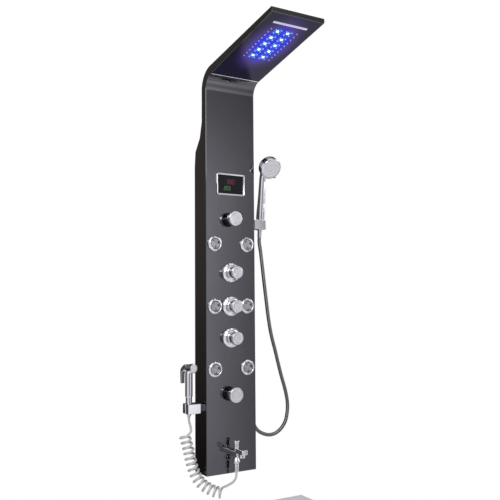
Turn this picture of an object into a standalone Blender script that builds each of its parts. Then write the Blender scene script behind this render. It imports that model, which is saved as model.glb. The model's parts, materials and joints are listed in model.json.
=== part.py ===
"""Rainfall shower column: a wall-hung sheet-metal panel with an overhead rain and waterfall head,
a temperature display, five knobs, six swivelling body jets, a tub spout, and a hand shower and a
trigger sprayer that hang in sockets on the panel's sides.

Units are metres. +X is to the right seen from the front, +Y points into the wall and +Z is up.
The origin is the centre of the upper wall bracket's back face, so the wall is the plane Y = 0.
Heights in the constants below are measured up from the panel's bottom edge.
"""

import math

import bmesh
import bpy
import numpy as np
from mathutils import Matrix

# Panel
PANEL_WIDTH = 0.200
PANEL_DEPTH = 0.086
SHEET = 0.0015
GAP = 0.0003
MOUNT_HEIGHT = 1.000
SHOULDER_HEIGHT = 1.133
SHOULDER_RISE = 0.117
NECK_THICKNESS = 0.030
BEND_HEIGHT = 1.349
BEND_RADIUS = 0.048
BACK_BEND_RADIUS = 0.075
CUT_DEPTH = 0.010

# Rain head
HEAD_LENGTH = 0.406
HEAD_RISE = math.radians(12)
HEAD_TOP_RISE = math.radians(10)
TIP_THICKNESS = 0.016
HEAD_RIM = 0.004
NOZZLE_COLUMNS = 6
NOZZLE_ROWS = 10
NOZZLE_PITCH_X = 0.0199
NOZZLE_PITCH_Y = 0.0192
NOZZLE_RADIUS = 0.0018
NOZZLE_DROP = 0.0035
FIRST_NOZZLE = 0.149
LED_RADIUS = 0.0042
LED_DROP = 0.001
MAT_THICKNESS = 0.002
BOARD_THICKNESS = 0.0016
CHAMBER_HEIGHT = 0.007
SLOT_PLACE = 0.357
LIP_LENGTH = 0.128
LIP_WIDTH = 0.009
LIP_DROP = 0.0015
LIP_HEIGHT = 0.0095
LIP_WALL = 0.002

# Wall brackets, manifold and pipe work
BRACKET_HEIGHT = 0.050
BRACKET_DEPTH = 0.028
BRACKET_PLATE = 0.003
LOWER_BRACKET = 0.200
SCREW_RADIUS = 0.003
SCREW_SPACING = 0.120
MANIFOLD_WIDTH = 0.030
MANIFOLD_DEPTH = 0.024
MANIFOLD_FRONT = 0.036
ARM_HEIGHT = 0.018
INLET_SPACING = 0.100
INLET_RADIUS = 0.0105
INLET_BORE = 0.0075
INLET_HEIGHT = 0.150
RISER_RADIUS = 0.006
TURBINE_RADIUS = 0.014
TURBINE_LENGTH = 0.050

# Display
DISPLAY_HEIGHT = 1.016
DISPLAY_WIDTH = 0.114
DISPLAY_TALL = 0.078
BEZEL_WIDTH = 0.0055
BEZEL_THICKNESS = 0.0035
BEZEL_CORNER = 0.007
LENS_THICKNESS = 0.002
MODULE_DEPTH = 0.018

# Knobs: node name, height, is it a large one
KNOBS = [
    ("rain", 0.891, False),
    ("waterfall", 0.700, True),
    ("mixer", 0.581, True),
    ("jets", 0.470, True),
    ("handset", 0.273, False),
]
SPINDLE_RADIUS = 0.0045
SPINDLE_HOLE = SPINDLE_RADIUS + 0.0015
SPINDLE_GRIP = 0.018
SPINDLE_SEAT = 0.012
SMALL_CAP_RADIUS = 0.0260
SMALL_CAP_START = 0.020
SMALL_CAP_END = 0.038
SMALL_STEM_RADIUS = 0.0155
LARGE_CAP_RADIUS = 0.0222
LARGE_CAP_START = 0.015
LARGE_CAP_END = 0.048
LARGE_STEM_RADIUS = 0.0180
FLANGE_BORE = LARGE_STEM_RADIUS + 0.001
FLANGE_RADIUS = FLANGE_BORE + 0.0165
FLANGE_THICKNESS = 0.012
KNOB_EDGE = 0.0020

# Body jets
JET_HEIGHTS = [0.802, 0.5815, 0.3625]
JET_GAP = 0.0025
JET_BALL_RADIUS = 0.0185
JET_BALL_CLEARANCE = 0.0006
JET_NECK_WALL = 0.0024
JET_NECK_RADIUS = JET_BALL_RADIUS + JET_BALL_CLEARANCE + JET_NECK_WALL
JET_NECK_LENGTH = 0.010
JET_RING_RADIUS = JET_NECK_RADIUS + 0.006
JET_SPACING = 2 * (JET_RING_RADIUS + FLANGE_RADIUS + JET_GAP)
JET_RING_THICKNESS = 0.0085
JET_RING_SLOPE = 0.004
JET_FACE = 0.0085
JET_CENTRE = -0.001
JET_TAIL_RADIUS = 0.005
JET_TAIL = 0.030
JET_SIDES = 16

# Spout
SPOUT_HEIGHT = 0.0735
BARREL_RADIUS = 0.0130
BARREL_LENGTH = 0.056
SPOUT_STUB_RADIUS = 0.0090
NOSE_START = 0.044
NOSE_END = 0.090
NOSE_WIDTH = 0.023
NOSE_LOW = 0.0030
NOSE_HIGH = 0.0200
AERATOR_PLACE = 0.068
AERATOR_RADIUS = 0.0110
AERATOR_LENGTH = 0.012
DIVERTER_PLACE = 0.031
DIVERTER_STEM = 0.0035
DIVERTER_CLEARANCE = 0.0005
DIVERTER_RADIUS = 0.0082
DIVERTER_FLANGE = 0.0108
DIVERTER_TALL = 0.030
HOSE_STUB_RADIUS = 0.0060
HOSE_STUB_LENGTH = 0.011
SPOUT_NUT_RADIUS = 0.0128
SPOUT_NUT_LENGTH = 0.051

# Hoses, and the outlet that feeds the hand shower's hose
HOSE_RADIUS = 0.0070
COIL_TUBE_RADIUS = 0.0040
COIL_RADIUS = 0.0210
OUTLET_HEIGHT = 0.770
OUTLET_DEPTH = 0.026
OUTLET_REACH = 0.018
OUTLET_RADIUS = 0.0090
OUTLET_DROP = 0.022
OUTLET_FLANGE = 0.0140
HOSE_NUT_RADIUS = 0.0115
HOSE_NUT_LENGTH = 0.026

# Side sockets: block measures, then the height of each block's centre
SOCKET_REACH = 0.048
SOCKET_DEPTH = 0.0475
BLOCK_NEAR = 0.012
BLOCK_FAR = 0.0615
BLOCK_THICKNESS = 0.044
BLOCK_HEIGHT = 0.034
BLOCK_ARM = 0.022
BLOCK_EDGE = 0.0015
SOCKET_BOTTOM = HOSE_RADIUS + 0.0025
SOCKET_TOP = SOCKET_BOTTOM + 0.0018
HANDSET_SOCKET = 0.880
SPRAYER_SOCKET = 0.230
STUB_RADIUS = 0.0060
STUB_HEIGHT = 0.012
HANDSET_TAIL = 0.020
SPRAYER_TAIL = 0.004
CONE_FOOT = 0.008
HANDSET_LEAN = math.radians(7)
SPRAYER_TURN = math.radians(16)

# Hand shower, in the frame of its tilted handle
HANDLE_START = 0.0205
HANDLE_LENGTH = 0.148
HANDLE_RADII = [0.0168, 0.0162, 0.0146, 0.0138, 0.0132, 0.0128]
FACE_FORWARD = 0.0575
FACE_HEIGHT = 0.2063
FACE_TILT = math.radians(27)
DRUM_RADIUS = 0.0400
DRUM_DEPTH = 0.0360
RING_DEPTH = 0.0090
RING_WALL = 0.0040
HANDSET_FACE_THICKNESS = 0.0040

# Trigger sprayer
NECK_RADIUS = SOCKET_TOP - GAP
NECK_TOP = 0.040
GRIP_RADIUS = NECK_RADIUS + 0.002
GRIP_TOP = 0.128
SPRAY_AXIS = 0.139
SPRAY_FRONT = 0.0275
SPRAY_BACK = 0.0080
SPRAY_RADIUS = 0.0165
SPRAY_BACK_RADIUS = 0.0115
SPRAY_FACE_RADIUS = 0.0140
SPRAY_FACE_THICKNESS = 0.0025
TRIGGER_WIDTH = 0.016

# Centre lines of the hoses, with Z as a height above the panel's bottom edge. The first and last points
# of a route are where its ends meet their neighbours at the sizes above; build_hoses carries them along.
SHOWER_HOSE_ROUTE = [
    (0.1480, -0.0420, 0.8350), (0.1480, -0.0402, 0.8205), (0.1540, -0.0398, 0.7820),
    (0.1620, -0.0395, 0.7210), (0.1735, -0.0384, 0.6350), (0.1965, -0.0361, 0.4895),
    (0.2185, -0.0349, 0.4115), (0.2425, -0.0336, 0.3275), (0.2650, -0.0325, 0.2570),
    (0.2735, -0.0320, 0.2135), (0.2715, -0.0320, 0.1770), (0.2625, -0.0309, 0.1435),
    (0.2430, -0.0297, 0.1190), (0.2190, -0.0286, 0.1050), (0.1930, -0.0274, 0.1020),
    (0.1700, -0.0263, 0.1080), (0.1480, -0.0260, 0.1200), (0.1310, -0.0260, 0.1400),
    (0.1210, -0.0260, 0.1750), (0.1180, -0.0260, 0.2300), (0.1175, -0.0260, 0.3500),
    (0.1175, -0.0260, 0.5000), (0.1178, -0.0260, 0.6300), (0.1180, -0.0260, 0.7000),
    (0.1180, -0.0260, 0.7214),
]
COIL_TOP_ROUTE = [
    (-0.1480, -0.0475, 0.2007), (-0.1480, -0.0475, 0.1900), (-0.1445, -0.0490, 0.1750),
    (-0.1430, -0.0530, 0.1620), (-0.1455, -0.0580, 0.1545), (-0.1500, -0.0610, 0.1515),
]
COIL_ROUTE = [
    (-0.1630, -0.0450, 0.1430), (-0.1560, -0.0450, 0.1150), (-0.1500, -0.0465, 0.0930),
    (-0.1430, -0.0490, 0.0600), (-0.1350, -0.0520, 0.0270), (-0.1230, -0.0570, -0.0040),
    (-0.1050, -0.0640, -0.0290), (-0.0820, -0.0720, -0.0460), (-0.0600, -0.0800, -0.0570),
    (-0.0380, -0.0880, -0.0610),
]
COIL_END_ROUTE = [
    (-0.0260, -0.0900, -0.0375), (-0.0170, -0.1000, -0.0330), (-0.0080, -0.1090, -0.0240),
    (-0.0020, -0.1150, -0.0120), (0.0000, -0.1170, -0.0020), (0.0000, -0.1170, 0.0086),
]
HOSE_LEAD = 0.008
HOSE_SWING = 0.012


def height(value):
    """World Z of a height measured up from the panel's bottom edge."""
    return value - MOUNT_HEIGHT


FRONT = -PANEL_DEPTH
HALF = PANEL_WIDTH / 2
NECK_BACK = FRONT + NECK_THICKNESS


# ---------------------------------------------------------------- helpers

def clear_scene():
    for obj in list(bpy.data.objects):
        bpy.data.objects.remove(obj, do_unlink=True)


MATERIALS = {
    "black_steel": ((0.030, 0.030, 0.034, 1), 0.22, 0.9),
    "chrome": ((0.80, 0.81, 0.83, 1), 0.10, 1.0),
    "satin_chrome": ((0.55, 0.56, 0.58, 1), 0.30, 1.0),
    "brass": ((0.62, 0.45, 0.20, 1), 0.35, 1.0),
    "grey_silicone": ((0.25, 0.25, 0.27, 1), 0.60, 0.0),
    "black_plastic": ((0.02, 0.02, 0.02, 1), 0.45, 0.0),
    "dark_glass": ((0.010, 0.010, 0.012, 1), 0.05, 0.0),
    "led_board": ((0.20, 0.25, 0.90, 1), 0.30, 0.0),
    "galvanised": ((0.50, 0.51, 0.52, 1), 0.45, 1.0),
    "hose_steel": ((0.60, 0.61, 0.63, 1), 0.25, 1.0),
    "hose_grey": ((0.62, 0.61, 0.58, 1), 0.50, 0.0),
}


def material(name):
    made = bpy.data.materials.get(name)
    if made:
        return made
    colour, roughness, metallic = MATERIALS[name]
    made = bpy.data.materials.new(name)
    made.use_nodes = True
    shader = made.node_tree.nodes["Principled BSDF"]
    shader.inputs["Base Color"].default_value = colour
    shader.inputs["Roughness"].default_value = roughness
    shader.inputs["Metallic"].default_value = metallic
    made.diffuse_color = colour
    return made


def add(name, mesh, finish, place=None, parent=None):
    """Link a mesh as one named piece, smooth where it is round. place is a matrix in the parent's frame."""
    if finish:
        mesh.materials.clear()
        mesh.materials.append(material(finish))
    mesh.shade_smooth()
    mesh.set_sharp_from_angle(angle=math.radians(35))
    piece = bpy.data.objects.new(name, mesh)
    bpy.context.scene.collection.objects.link(piece)
    piece.parent = parent
    if place is not None:
        piece.matrix_local = place
    return piece


def frame(name, place):
    """An empty that carries the pieces built in its own frame."""
    empty = bpy.data.objects.new(name, None)
    empty.empty_display_size = 0.02
    bpy.context.scene.collection.objects.link(empty)
    empty.matrix_local = place
    return empty


def shift(x=0.0, y=0.0, z=0.0):
    return Matrix.Translation((x, y, z))


def facing_out(x, z, off=0.0):
    """A frame on the panel's front face at x, z: its +Z points out of the panel, off is the distance out."""
    return shift(x, FRONT - off, z) @ Matrix.Rotation(math.radians(90), 4, "X")


def finished(name, work):
    """Turn a bmesh into a mesh with its faces pointing out."""
    bmesh.ops.recalc_face_normals(work, faces=work.faces)
    mesh = bpy.data.meshes.new(name)
    work.to_mesh(mesh)
    work.free()
    return mesh


def turned(name, profile, segments=20):
    """A body of revolution about Z. profile is a list of (radius, z) from one pole to the other,
    or a closed ring when neither end lies on the axis."""
    work = bmesh.new()
    angles = np.linspace(0, 2 * math.pi, segments, endpoint=False)
    rings = []
    for radius, z in profile:
        if radius == 0:
            rings.append([work.verts.new((0, 0, z))])
        else:
            circle = [(radius * math.cos(a), radius * math.sin(a), z) for a in angles]
            rings.append([work.verts.new(point) for point in circle])
    pairs = list(zip(rings, rings[1:]))
    if profile[0][0] > 0:
        pairs.append((rings[-1], rings[0]))
    for first, second in pairs:
        for k in range(segments):
            after = (k + 1) % segments
            corners = [first[k % len(first)], first[after % len(first)]]
            corners += [second[after % len(second)], second[k % len(second)]]
            work.faces.new(dict.fromkeys(corners))
    return finished(name, work)


def prism(name, outline, low, high, along="X"):
    """A flat outline pushed along one axis. outline holds the other two coordinates in X, Y, Z order."""
    axis = "XYZ".index(along)
    work = bmesh.new()
    ends = []
    for level in (low, high):
        ends.append([work.verts.new(tuple(np.insert(point, axis, level))) for point in outline])
    work.faces.new(ends[0])
    work.faces.new(ends[1])
    for k in range(len(outline)):
        after = (k + 1) % len(outline)
        work.faces.new((ends[0][k], ends[0][after], ends[1][after], ends[1][k]))
    return finished(name, work)


def box(name, low, high):
    outline = [(low[1], low[2]), (high[1], low[2]), (high[1], high[2]), (low[1], high[2])]
    return prism(name, outline, low[0], high[0])


def round_box(name, low, high, edge, steps=2):
    """A box with every edge rounded."""
    work = bmesh.new()
    work.from_mesh(box(name, low, high))
    edges = list(work.edges)
    bmesh.ops.bevel(work, geom=edges, offset=edge, segments=steps, profile=0.5, affect="EDGES")
    return finished(name, work)


def rounded_rectangle(width, tall, corner, middle=(0.0, 0.0), steps=4):
    """Corner-rounded rectangle as a list of points, counter-clockwise."""
    points = []
    for quarter, (sx, sy) in enumerate(((1, 1), (-1, 1), (-1, -1), (1, -1))):
        centre = (middle[0] + sx * (width / 2 - corner), middle[1] + sy * (tall / 2 - corner))
        for angle in np.linspace(quarter, quarter + 1, steps + 1) * math.pi / 2:
            points.append((centre[0] + corner * math.cos(angle), centre[1] + corner * math.sin(angle)))
    return points


def joined(name, meshes):
    """Several separate closed shapes in one mesh, for use as one cutter."""
    work = bmesh.new()
    for mesh in meshes:
        work.from_mesh(mesh)
    return finished(name, work)


def moved(mesh, place):
    mesh.transform(place)
    return mesh


def combine(piece, mesh, operation, place=None):
    """Boolean piece with mesh, which stays in the scene as a hidden guide."""
    guide = add(f"{piece.name}_{operation.lower()}_{len(piece.modifiers)}", mesh, None, place, piece.parent)
    guide.hide_render = True
    guide.display_type = "WIRE"
    step = piece.modifiers.new(guide.name, "BOOLEAN")
    step.operation = operation
    step.object = guide


def smooth_route(points, spacing, lead=0.0):
    """Evenly spaced points on a smooth curve through hand-chosen points (centripetal Catmull-Rom).
    A lead adds a short straight step at each end, so that the end faces stay square."""
    points = np.array(points, float)
    padded = np.vstack([2 * points[0] - points[1], points, 2 * points[-1] - points[-2]])
    knots = np.concatenate([[0], np.cumsum(np.linalg.norm(np.diff(padded, axis=0), axis=1) ** 0.5)])
    fine = []
    for k in range(1, len(padded) - 2):
        t0, t1, t2, t3 = knots[k - 1:k + 3]
        p0, p1, p2, p3 = padded[k - 1:k + 3]
        t = np.linspace(t1, t2, 24, endpoint=False)[:, None]
        a1 = (t1 - t) / (t1 - t0) * p0 + (t - t0) / (t1 - t0) * p1
        a2 = (t2 - t) / (t2 - t1) * p1 + (t - t1) / (t2 - t1) * p2
        a3 = (t3 - t) / (t3 - t2) * p2 + (t - t2) / (t3 - t2) * p3
        b1 = (t2 - t) / (t2 - t0) * a1 + (t - t0) / (t2 - t0) * a2
        b2 = (t3 - t) / (t3 - t1) * a2 + (t - t1) / (t3 - t1) * a3
        fine.append((t2 - t) / (t2 - t1) * b1 + (t - t1) / (t2 - t1) * b2)
    fine = np.vstack(fine + [points[-1:]])
    along = np.concatenate([[0], np.cumsum(np.linalg.norm(np.diff(fine, axis=0), axis=1))])
    count = max(2, round((along[-1] - 2 * lead) / spacing) + 1)
    even = np.linspace(lead, along[-1] - lead, count)
    if lead:
        even = np.concatenate([[0], even, [along[-1]]])
    return np.stack([np.interp(even, along, fine[:, axis]) for axis in range(3)], axis=1)


def pipe(name, points, radius, finish, resolution=2, radii=None, parent=None):
    """A round bar along a run of points; radii scales the radius point by point."""
    data = bpy.data.curves.new(name, "CURVE")
    data.dimensions = "3D"
    data.bevel_depth = radius
    data.bevel_resolution = resolution
    data.use_fill_caps = True
    spline = data.splines.new("POLY")
    spline.points.add(len(points) - 1)
    for k, point in enumerate(points):
        spline.points[k].co = (*point, 1)
        spline.points[k].radius = 1 if radii is None else radii[k]
    data.materials.append(material(finish))
    piece = bpy.data.objects.new(name, data)
    bpy.context.scene.collection.objects.link(piece)
    piece.parent = parent
    return piece


def as_mesh(piece):
    """The curve's own surface as a welded mesh, and the curve object removed."""
    graph = bpy.context.evaluated_depsgraph_get()
    mesh = bpy.data.meshes.new_from_object(piece.evaluated_get(graph))
    bpy.data.objects.remove(piece, do_unlink=True)
    work = bmesh.new()
    work.from_mesh(mesh)
    bmesh.ops.remove_doubles(work, verts=work.verts, dist=1e-6)
    return finished(mesh.name, work)


# ---------------------------------------------------------------- panel outline

def line_crossing(first, second):
    """Where two lines meet; each is a (point, direction) pair in the YZ plane."""
    (p, d), (q, e) = first, second
    t = ((q[0] - p[0]) * e[1] - (q[1] - p[1]) * e[0]) / (d[0] * e[1] - d[1] * e[0])
    return (p[0] + t * d[0], p[1] + t * d[1])


def arc_at(corner, before, after, radius, steps):
    """Round one corner of an outline, given its unit directions before and after the corner."""
    turn = before[0] * after[1] - before[1] * after[0]
    angle = math.atan2(abs(turn), before[0] * after[0] + before[1] * after[1])
    reach = radius * math.tan(angle / 2)
    side = math.copysign(1, turn)
    start = (corner[0] - reach * before[0], corner[1] - reach * before[1])
    centre = (start[0] - side * radius * before[1], start[1] + side * radius * before[0])
    points = []
    for swing in np.linspace(0, side * angle, steps + 1):
        arm = (start[0] - centre[0], start[1] - centre[1])
        y = centre[0] + arm[0] * math.cos(swing) - arm[1] * math.sin(swing)
        z = centre[1] + arm[0] * math.sin(swing) + arm[1] * math.cos(swing)
        points.append((y, z))
    return points


def head_start():
    """The end of the front bend, where the flat underside of the head begins, as (y, z)."""
    swing = math.pi / 2 - HEAD_RISE
    y = FRONT - BEND_RADIUS + BEND_RADIUS * math.cos(swing)
    return (y, height(BEND_HEIGHT) + BEND_RADIUS * math.sin(swing))


def side_outline(bottom=0.0, front=0.0, tip=0.0, back=0.0):
    """The panel's side view, counter-clockwise in YZ, each edge moved inwards by its own inset.
    Returns one list of points per corner: bottom front, bottom back, shoulder, neck foot, back bend,
    tip top, tip underside, front bend."""
    start = head_start()
    ahead = (-math.cos(HEAD_RISE), math.sin(HEAD_RISE))
    up = (math.sin(HEAD_RISE), math.cos(HEAD_RISE))
    low_tip = (start[0] + HEAD_LENGTH * ahead[0], start[1] + HEAD_LENGTH * ahead[1])
    top_tip = (low_tip[0] + TIP_THICKNESS * up[0], low_tip[1] + TIP_THICKNESS * up[1])
    step_out = -NECK_BACK
    foot_rise = (SHOULDER_RISE**2 - step_out**2) / (2 * SHOULDER_RISE)
    foot = (NECK_BACK, height(SHOULDER_HEIGHT) + foot_rise)
    shoulder = (0.0, height(SHOULDER_HEIGHT))
    slant = np.subtract(foot, shoulder) / np.linalg.norm(np.subtract(foot, shoulder))
    edges = [
        ((FRONT, height(0)), (1, 0), bottom),
        ((0, 0), (0, 1), back),
        (shoulder, tuple(slant), back),
        (foot, (0, 1), back),
        (top_tip, (-math.cos(HEAD_TOP_RISE), math.sin(HEAD_TOP_RISE)), back),
        (top_tip, (-up[0], -up[1]), tip),
        (low_tip, (-ahead[0], -ahead[1]), front),
        ((FRONT, height(0)), (0, -1), front),
    ]
    lines = [((p[0] - d[1] * inset, p[1] + d[0] * inset), d) for p, d, inset in edges]
    shoulder_angle = 2 * math.atan(step_out / SHOULDER_RISE)
    rounds = {
        3: SHOULDER_RISE / math.sin(shoulder_angle) + back,
        4: BACK_BEND_RADIUS - back,
        7: BEND_RADIUS + front,
    }
    corners = []
    for k in range(len(lines)):
        corner = line_crossing(lines[k - 1], lines[k])
        if k in rounds:
            corners.append(arc_at(corner, lines[k - 1][1], lines[k][1], rounds[k], 8))
        else:
            corners.append([corner])
    return corners


def flat(corners):
    return [point for corner in corners for point in corner]


# ---------------------------------------------------------------- pieces

def build_shell():
    """The folded front sheet: face, two sides, bottom, and the rim and tip of the head."""
    shell = add("front_shell", prism("front_shell", flat(side_outline()), -HALF, HALF), "black_steel")
    inside = side_outline(SHEET, SHEET, SHEET, -0.006)
    combine(shell, prism("hollow", flat(inside), SHEET - HALF, HALF - SHEET), "DIFFERENCE")

    cutters = []
    window = rounded_rectangle(
        DISPLAY_WIDTH - 2 * BEZEL_WIDTH, DISPLAY_TALL - 2 * BEZEL_WIDTH, BEZEL_CORNER / 2,
        (0, height(DISPLAY_HEIGHT)))
    through = CUT_DEPTH / 2
    cutters.append(prism("window", window, FRONT - through, FRONT + through, "Y"))
    for _, place, _ in KNOBS:
        cutters.append(front_hole(0, height(place), SPINDLE_HOLE, 12))
    for place in JET_HEIGHTS:
        for side in (-1, 1):
            x = side * JET_SPACING / 2
            cutters.append(front_hole(x, height(place), JET_NECK_RADIUS + GAP, JET_SIDES))
    cutters.append(front_hole(0, height(SPOUT_HEIGHT), SPOUT_STUB_RADIUS + GAP, 20))
    wide = OUTLET_RADIUS + GAP
    outlet = turned("outlet_hole", [(0, -through), (wide, -through), (wide, through), (0, through)], 16)
    seat = shift(HALF, -OUTLET_DEPTH, height(OUTLET_HEIGHT)) @ Matrix.Rotation(math.pi / 2, 4, "Y")
    cutters.append(moved(outlet, seat))
    plate = box("plate_opening", (HEAD_RIM - HALF, HEAD_RIM - HEAD_LENGTH, -through),
                (HALF - HEAD_RIM, 0, SHEET + 0.001))
    cutters.append(moved(plate, head_place()))
    combine(shell, joined("openings", cutters), "DIFFERENCE")


def front_hole(x, z, radius, segments):
    through = CUT_DEPTH / 2
    drill = turned("hole", [(0, -through), (radius, -through), (radius, through), (0, through)], segments)
    return moved(drill, facing_out(x, z))


def head_place():
    """Frame of the flat head: +X across, -Y towards the tip, +Z up through the head's thickness."""
    start = head_start()
    return shift(0, start[0], start[1]) @ Matrix.Rotation(-HEAD_RISE, 4, "X")


def build_rear_cover():
    """One formed sheet that closes the back of the neck and the top of the head, between the sides."""
    outer = side_outline(back=0)[2:6]
    inner = side_outline(back=SHEET)[2:6]
    slide = SHEET + GAP
    for path in (outer, inner):
        tip = path[3][0]
        path[3] = [(tip[0] + slide * math.cos(HEAD_TOP_RISE), tip[1] - slide * math.sin(HEAD_TOP_RISE))]
    outline = flat(outer) + flat(inner)[::-1]
    reach = HALF - SHEET - GAP
    add("rear_cover", prism("rear_cover", outline, -reach, reach), "black_steel")


def nozzle_places():
    for row in range(NOZZLE_ROWS):
        for column in range(NOZZLE_COLUMNS):
            x = (column - (NOZZLE_COLUMNS - 1) / 2) * NOZZLE_PITCH_X
            yield x, -(FIRST_NOZZLE + row * NOZZLE_PITCH_Y)


def led_places():
    """A lamp stands between the nozzles of every second row and column."""
    for row in range(NOZZLE_ROWS // 2):
        for side in (-1, 1):
            yield side * NOZZLE_PITCH_X, -(FIRST_NOZZLE + (2 * row + 0.5) * NOZZLE_PITCH_Y)


def pegs(places, radius, low, high, sides):
    """One short bar per place, standing along Z."""
    bars = []
    for x, y in places:
        bar = turned("peg", [(0, low), (radius, low), (radius, high), (0, high)], sides)
        bars.append(moved(bar, shift(x, y)))
    return joined("pegs", bars)


def build_head():
    """Everything in the overhead head, stacked upwards from its flat underside."""
    head = frame("head_frame", head_place())
    field_x = (NOZZLE_COLUMNS + 0.6) * NOZZLE_PITCH_X / 2
    near = -(FIRST_NOZZLE - NOZZLE_PITCH_Y)
    far = -(FIRST_NOZZLE + NOZZLE_ROWS * NOZZLE_PITCH_Y)
    lens_hole = LED_RADIUS + GAP

    edge = HALF - HEAD_RIM - GAP
    sheet = box("head_plate", (-edge, HEAD_RIM + GAP - HEAD_LENGTH, 0), (edge, -GAP, SHEET))
    plate = add("head_plate", sheet, "black_steel", parent=head)
    openings = [pegs(nozzle_places(), NOZZLE_RADIUS + GAP, -0.002, 0.004, 6)]
    openings.append(pegs(led_places(), lens_hole, -0.002, 0.004, 10))
    openings.append(box("slot", (-LIP_LENGTH / 2 - GAP, -SLOT_PLACE - LIP_WIDTH / 2 - GAP, -0.002),
                        (LIP_LENGTH / 2 + GAP, -SLOT_PLACE + LIP_WIDTH / 2 + GAP, 0.004)))
    combine(plate, joined("plate_holes", openings), "DIFFERENCE")

    base = SHEET + GAP
    sheet = box("nozzle_mat", (-field_x, far, base), (field_x, near, base + MAT_THICKNESS))
    mat = add("nozzle_mat", sheet, "grey_silicone", parent=head)
    combine(mat, pegs(nozzle_places(), NOZZLE_RADIUS, -NOZZLE_DROP, base + MAT_THICKNESS / 2, 6), "UNION")
    combine(mat, pegs(led_places(), lens_hole, 0, base + 0.01, 10), "DIFFERENCE")

    base += MAT_THICKNESS + GAP
    sheet = box("led_board", (-field_x, far, base), (field_x, near, base + BOARD_THICKNESS))
    board = add("led_board", sheet, "led_board", parent=head)
    combine(board, pegs(led_places(), LED_RADIUS, -LED_DROP, base + BOARD_THICKNESS / 2, 10), "UNION")

    base += BOARD_THICKNESS + GAP
    top = base + CHAMBER_HEIGHT
    block = box("rain_chamber", (-field_x, far, base), (field_x, near, top))
    chamber = add("rain_chamber", block, "black_plastic", parent=head)
    wall = SHEET
    hollow = box("chamber_hollow", (wall - field_x, far + wall, base - 0.001),
                 (field_x - wall, near - wall, top - wall))
    combine(chamber, hollow, "DIFFERENCE")

    lip = add("waterfall_lip", lip_box(0, -LIP_DROP, LIP_HEIGHT), "chrome", parent=head)
    combine(lip, lip_box(LIP_WALL, -0.01, 0.02), "DIFFERENCE")
    return near, base + CHAMBER_HEIGHT / 2


def lip_box(wall, low, high):
    """The waterfall outlet's bar, or with a wall the slot that runs through it."""
    return box("lip", (wall - LIP_LENGTH / 2, wall - SLOT_PLACE - LIP_WIDTH / 2, low),
               (LIP_LENGTH / 2 - wall, LIP_WIDTH / 2 - SLOT_PLACE - wall, high))


def build_brackets():
    """Two channel-shaped brackets screwed to the wall; the panel's sides slip over them."""
    reach = HALF - SHEET - GAP
    plate = BRACKET_PLATE
    inner = reach - plate
    deep = -BRACKET_DEPTH
    outline = [(-reach, 0), (-reach, deep), (-inner, deep), (-inner, -plate),
               (inner, -plate), (inner, deep), (reach, deep), (reach, 0)]
    for name, middle in (("upper_wall_bracket", 0.0), ("lower_wall_bracket", height(LOWER_BRACKET))):
        half = BRACKET_HEIGHT / 2
        bracket = add(name, prism(name, outline, middle - half, middle + half, "Z"), "galvanised")
        holes = []
        for side in (-1, 1):
            profile = [(0, -0.01), (SCREW_RADIUS, -0.01), (SCREW_RADIUS, 0.01), (0, 0.01)]
            seat = shift(side * SCREW_SPACING / 2, 0, middle) @ Matrix.Rotation(math.pi / 2, 4, "X")
            holes.append(moved(turned("screw_hole", profile, 12), seat))
        combine(bracket, joined("screw_holes", holes), "DIFFERENCE")


def manifold_outline():
    """Front view of the manifold: a column with a cross arm at every row of jets and two inlet legs."""
    half = MANIFOLD_WIDTH / 2
    arm = JET_SPACING / 2 + ARM_HEIGHT / 2
    leg = INLET_SPACING / 2
    bottom = height(INLET_HEIGHT + 0.030)
    right = [(leg - INLET_RADIUS, bottom), (leg + INLET_RADIUS, bottom)]
    right += [(leg + INLET_RADIUS, bottom + 2.5 * ARM_HEIGHT), (half, bottom + 2.5 * ARM_HEIGHT)]
    for place in sorted(JET_HEIGHTS):
        middle = height(place)
        right += [(half, middle - ARM_HEIGHT / 2), (arm, middle - ARM_HEIGHT / 2)]
        right += [(arm, middle + ARM_HEIGHT / 2), (half, middle + ARM_HEIGHT / 2)]
    right.append((half, height(KNOBS[0][1]) + half))
    left = [(-x, z) for x, z in right[::-1]]
    inner = (leg - INLET_RADIUS, bottom + 1.2 * ARM_HEIGHT)
    return right + left + [(-inner[0], inner[1]), inner]


def build_manifold():
    """Brass manifold with a seat for every spindle and a threaded tail for hot and for cold water."""
    front = FRONT + MANIFOLD_FRONT
    back = front + MANIFOLD_DEPTH
    manifold = add("valve_manifold", prism("valve_manifold", manifold_outline(), front, back, "Y"), "brass")
    tails = []
    top = height(INLET_HEIGHT + 0.030) + 0.005
    for side in (-1, 1):
        tail = turned("tail", [(0, height(INLET_HEIGHT)), (INLET_RADIUS - 0.0005, height(INLET_HEIGHT)),
                               (INLET_RADIUS - 0.0005, top), (0, top)], 16)
        tails.append(moved(tail, shift(side * INLET_SPACING / 2, (front + back) / 2)))
    combine(manifold, joined("tails", tails), "UNION")
    bores = []
    for side in (-1, 1):
        bore = turned("bore", [(0, height(INLET_HEIGHT) - 0.01), (INLET_BORE, height(INLET_HEIGHT) - 0.01),
                               (INLET_BORE, top + 0.01), (0, top + 0.01)], 16)
        bores.append(moved(bore, shift(side * INLET_SPACING / 2, (front + back) / 2)))
    for _, place, _ in KNOBS:
        deep = -MANIFOLD_FRONT - SPINDLE_SEAT - 0.002
        wide = SPINDLE_RADIUS + GAP
        seat = turned("seat", [(0, deep), (wide, deep), (wide, 0), (0, 0)], 16)
        bores.append(moved(seat, facing_out(0, height(place))))
    combine(manifold, joined("bores", bores), "DIFFERENCE")
    return (front + back) / 2


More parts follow.
